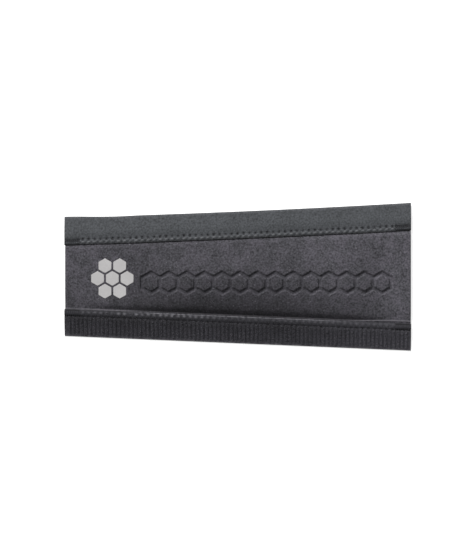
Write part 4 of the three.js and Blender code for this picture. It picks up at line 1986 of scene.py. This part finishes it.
@dataclass(frozen=True)
class SeamThread:
    """One of the two threads of a seam's zigzag lockstitch."""

    tape: SewnTape
    side: ThreadSide
    seam_name: str
    half_width: float = 0.18 * MM
    half_height: float = 0.15 * MM
    dip: float = 0.42 * MM
    clearance: float = 0.02 * MM

    def _leg(self, material: Material) -> Object:
        """Builds one stitch's leg, a unit long, that dips into the cloth at both holes."""
        sign = 1.0 if self.side is ThreadSide.NEEDLE else -1.0
        # Places along one half of the leg, and how deep each lies as a share of the dip.
        half = ((0.49, 1.0), (0.45, 0.6), (0.37, 0.12), (0.2, 0.0))
        places = [(-along, depth) for along, depth in half] + list(half[::-1])
        path = tuple((along, 0.0, -sign * self.dip * depth) for along, depth in places)
        leg = Wire(path, self.half_width, self.half_height, sides=6, end_share=0.7)
        return leg.build("stitch_leg", material)

    def build(self, material: Material) -> None:
        """Builds the thread.

        Args:
            material: The thread's material.
        """
        tape = self.tape
        if self.side is ThreadSide.NEEDLE:
            height = tape.lapped_thickness - tape.relief.thread_sink + self.half_height
            laid = tape.lay_values(tape.lap.height, tape.relief.crown)
        else:
            height = tape.lap.valley_height - self.half_height - self.clearance
            laid = tape.lay_values(0.0, 0.0)
        stretches = {
            f"{label} {name}": value
            for label, run in zip(RepeatTrees.STRETCHES, tape.seam.runs())
            for name, value in zip(("Start", "Step", "Count"), run)
        }
        leg = self._leg(material)
        thread = build_with_nodes(f"{self.seam_name}_stitches", tape.trees.seam_thread, {
            "Leg": leg,
            **stretches,
            "From": tape.side.value * tape.seam.inner,
            "Across": tape.side.value * (tape.seam.outer - tape.seam.inner),
            "Height": height,
            **laid,
            "Material": material,
        }, leg)
        dress(thread, "thread", f"{self.seam_name}_thread")


# Reflective film


@dataclass(frozen=True)
class ReflectiveHexagons:
    """Seven pieces of reflective film, one in the middle and six round it."""

    panel: NeoprenePanel
    centre_x: float = -90.3 * MM
    centre_y: float = -1.2 * MM
    width: float = 9.2 * MM
    pitch: float = 10.6 * MM
    thickness: float = 0.13 * MM
    corner: float = 0.7 * MM
    corner_steps: int = 5
    rings: int = 5
    rim_width_share: float = 0.012

    def _outline(self) -> list[tuple[float, float]]:
        """Draws one hexagon with upright sides and rounded corners, anticlockwise from above."""
        radius = self.width / math.sqrt(3)
        inner = radius - self.corner * 2 / math.sqrt(3)
        points = []
        for side in range(6):
            middle = math.radians(60 * side + 30)
            for step in range(self.corner_steps):
                turn = middle + math.radians(-30 + 60 * step / (self.corner_steps - 1))
                points.append((
                    inner * math.cos(middle) + self.corner * math.cos(turn),
                    inner * math.sin(middle) + self.corner * math.sin(turn),
                ))
        return points

    def _mesh(self, name: str, x: float, y: float) -> Mesh:
        """Builds one piece of film that follows the panel's outer face.

        Args:
            name: The mesh's name.
            x: Its centre along the protector.
            y: Its centre across the protector.

        Returns:
            The mesh.
        """
        outline = np.array(self._outline())
        levels = [(share / self.rings, 1.0) for share in range(1, self.rings)]
        # Then the rim, the side and the underside. The second number is the share of the thickness.
        levels += [(1 - self.rim_width_share, 1.0), (1.0, 0.6), (1.0, 0.0), (0.66, 0.0), (0.33, 0.0)]
        shape = bmesh.new()

        def vertex(local_x: float, local_y: float, lift: float) -> bmesh.types.BMVert:
            """Places one vertex over the panel's outer face."""
            face, _ = self.panel.outer_face(np.array(x + local_x), np.array(y + local_y))
            return shape.verts.new((x + local_x, y + local_y, float(face) + lift * self.thickness))

        rings = [[vertex(*(point * share), lift) for point in outline] for share, lift in levels]
        top = vertex(0.0, 0.0, 1.0)
        bottom = vertex(0.0, 0.0, 0.0)
        bridge(shape, rings)
        for k in range(len(outline)):
            after = (k + 1) % len(outline)
            shape.faces.new((top, rings[0][k], rings[0][after]))
            shape.faces.new((bottom, rings[-1][after], rings[-1][k]))
        mesh = smooth_mesh(name, shape)
        mesh.set_sharp_from_angle(angle=math.radians(SHARP_ANGLE))
        return mesh

    def build(self, material: Material) -> None:
        """Builds the seven pieces.

        Args:
            material: The film's material.
        """
        turns = [math.radians(60 * i) for i in range(6)]
        places = [(0.0, 0.0), *((self.pitch * math.cos(t), self.pitch * math.sin(t)) for t in turns)]
        for number, (x, y) in enumerate(places, start=1):
            name = f"film_hexagon_{number}"
            mesh = self._mesh(name, self.centre_x + x, self.centre_y + y)
            mesh.materials.append(material)
            dress(link_object(name, mesh), "reflective_film", f"reflective_hexagon_{number}")


# Studio


@dataclass(frozen=True)
class Studio:
    """A white floor, soft light from beyond the loop edge and a camera straight above."""

    camera_x: float = -0.51 * MM
    camera_y: float = -0.9 * MM
    face_height: float = 3.0 * MM
    view_height: float = 400.5 * MM
    lens: float = 100.0
    sensor: float = 36.0
    light_power: float = 248.0
    light_size: float = 1.8
    light_distance: float = 4.0
    light_elevation: float = 28.0
    light_aside: float = 28.0
    ambient: float = 0.24
    floor_size: float = 6.0
    floor_height: float = -0.1 * MM
    floor_glow: float = 0.72
    grain_scale: float = 40.0
    grain: float = 0.03
    floor_tone: float = 0.82
    farthest_seen: float = 50.0

    def _background_ray(self, nodes: NodeBuilder) -> NodeSocket:
        """Adds a mask of the rays that see the background: camera, glossy and transmission."""
        path = nodes.add("ShaderNodeLightPath").outputs
        seen = nodes.math("MAXIMUM", path["Is Camera Ray"], path["Is Glossy Ray"])
        return nodes.math("MAXIMUM", seen, path["Is Transmission Ray"])

    def _floor(self) -> None:
        """Builds the floor, which keeps the protector's shadow."""
        half = self.floor_size / 2
        mesh = bpy.data.meshes.new("floor")
        corners = [(x * half, y * half, self.floor_height) for x, y in ((-1, -1), (1, -1), (1, 1), (-1, 1))]
        mesh.from_pydata(corners, [], [(0, 1, 2, 3)])
        floor = link_object("floor", mesh)
        material, nodes, shader = new_material("white_floor", Roughness=0.9, Specular_IOR_Level=0.1)
        noise = nodes.noise(nodes.place(), self.grain_scale)
        tone = nodes.times_plus(noise, self.grain, self.floor_tone)
        nodes.feed(shader.inputs["Base Color"], nodes.grey(tone))
        glow = nodes.times(self._background_ray(nodes), self.floor_glow)
        nodes.feed(shader.inputs["Emission Color"], nodes.grey(glow))
        shader.inputs["Emission Strength"].default_value = 1.0
        mesh.materials.append(material)

    def _world(self) -> None:
        """Sets a white backdrop that lights the protector only faintly."""
        world = bpy.data.worlds.new("studio")
        world.use_nodes = True
        world.node_tree.nodes.clear()
        nodes = NodeBuilder(world.node_tree)
        seen = self._background_ray(nodes)
        strength = nodes.times_plus(seen, 1.0 - self.ambient, self.ambient)
        background = nodes.add("ShaderNodeBackground", {"Color": (1.0, 1.0, 1.0, 1.0), "Strength": strength})
        nodes.add("ShaderNodeOutputWorld", {"Surface": background.outputs[0]})
        bpy.context.scene.world = world

    def _light(self) -> None:
        """Places the soft light beyond the loop edge, aimed at the protector."""
        lamp = bpy.data.lights.new("key_light", "AREA")
        lamp.shape = "DISK"
        lamp.size = self.light_size
        lamp.energy = self.light_power
        light = link_object("key_light", lamp)
        elevation = math.radians(self.light_elevation)
        aside = math.radians(self.light_aside)
        level = self.light_distance * math.cos(elevation)
        light.location = (
            -level * math.sin(aside), level * math.cos(aside), self.light_distance * math.sin(elevation)
        )
        light.rotation_euler = (-light.location).to_track_quat("-Z", "Y").to_euler()

    def _camera(self) -> None:
        """Places the camera straight above, at the photo's framing."""
        lens = bpy.data.cameras.new("photo_camera")
        lens.lens = self.lens
        lens.sensor_width = self.sensor
        lens.clip_end = self.farthest_seen
        camera = link_object("photo_camera", lens)
        distance = self.view_height * self.lens / self.sensor
        camera.location = (self.camera_x, self.camera_y, self.face_height + distance)
        bpy.context.scene.camera = camera

    def build(self) -> None:
        """Builds the floor, the backdrop, the light and the camera."""
        self._floor()
        self._world()
        self._light()
        self._camera()
        bpy.context.scene.view_settings.view_transform = "Standard"


def main() -> None:
    """Builds the protector's pieces in order, then the studio."""
    logging.basicConfig(level=logging.INFO, format="%(message)s")
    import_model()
    outline = Outline.from_frame()
    lap = Lap()
    effects = ClothEffects()
    trees = RepeatTrees()
    hook_seam = Seam(outline, lap, setback=1.0 * MM, hole_reach=0.8 * MM, pillow_inset=0.75 * MM)
    loop_seam = Seam(outline, lap, width=2.9 * MM, hole_reach=0.95 * MM)
    hook_sewn = SewnTape(
        outline, lap, hook_seam, SeamRelief(edge_hold=0.1), trees, LongEdge.HOOK,
        thickness=0.6 * MM, lapped_thickness=0.6 * MM, free_thickness=0.6 * MM,
        pillow=0.1 * MM, edge_roll=0.1 * MM, outer_roll=0.0, inner_roll=0.32 * MM,
        selvedge=0.7 * MM, inner_rim_at_ends=0.1, outer_paleness=0.75, edge_shade=0.7, puckered=1.7,
    )
    loop_relief = SeamRelief(
        crown=0.16 * MM, edge_hold=0.3, leg_depth=0.06 * MM, hole_depth=0.56 * MM, thread_sink=0.24 * MM
    )
    loop_sewn = SewnTape(
        outline, lap, loop_seam, loop_relief, trees, LongEdge.LOOP,
        thickness=0.6 * MM, lapped_thickness=0.95 * MM, free_thickness=1.6 * MM, pillow=0.46 * MM,
        end_spread=0.75 * MM,
    )
    panel = NeoprenePanel(outline, lap, Arch(outline, lap), HoneycombStrip(), (hook_seam, loop_seam))
    panel.build(JerseyFinish(effects).build(), FoamFinish().build())
    LoopTape(loop_sewn).build(
        WovenTapeFinish(
            effects, "loop_tape_weave", linear_colour(80, 82, 85), linear_colour(62, 64, 67),
            pale_and_highlight=linear_colour(106, 107, 110), wide_end_paleness=0.06,
        ).build(),
        FilamentFinish(effects, "loop_pile", linear_colour(58, 59, 62), roughness=0.75, sheen=0.3).build(),
    )
    HookTape(hook_sewn).build(
        WovenTapeFinish(
            effects, "hook_backing_weave", linear_colour(46, 45, 49), linear_colour(29, 29, 32),
            pale_and_highlight=linear_colour(112, 111, 116), contrast=2.4, wide_end_paleness=0.85, outward=0.74, inward=0.2,
        ).build(),
        FilamentFinish(
            effects, "hook_filament", linear_colour(58, 57, 62), roughness=0.55, fleck=1.0, patch=1.3,
            streak=0.12, wide_end_paleness=0.85, outward=0.74,
        ).build(),
    )
    thread_colour = linear_colour(52, 52, 56)
    thread = FilamentFinish(effects, "sewing_thread", thread_colour, roughness=0.7, gloss=0.2).build()
    for sewn, label in ((loop_sewn, "loop"), (hook_sewn, "hook")):
        for side in ThreadSide:
            SeamThread(sewn, side, f"{label}_seam_{side.value}").build(thread)
    ReflectiveHexagons(panel).build(ReflectiveFilmFinish().build())
    Studio().build()


if __name__ == "__main__":
    main()
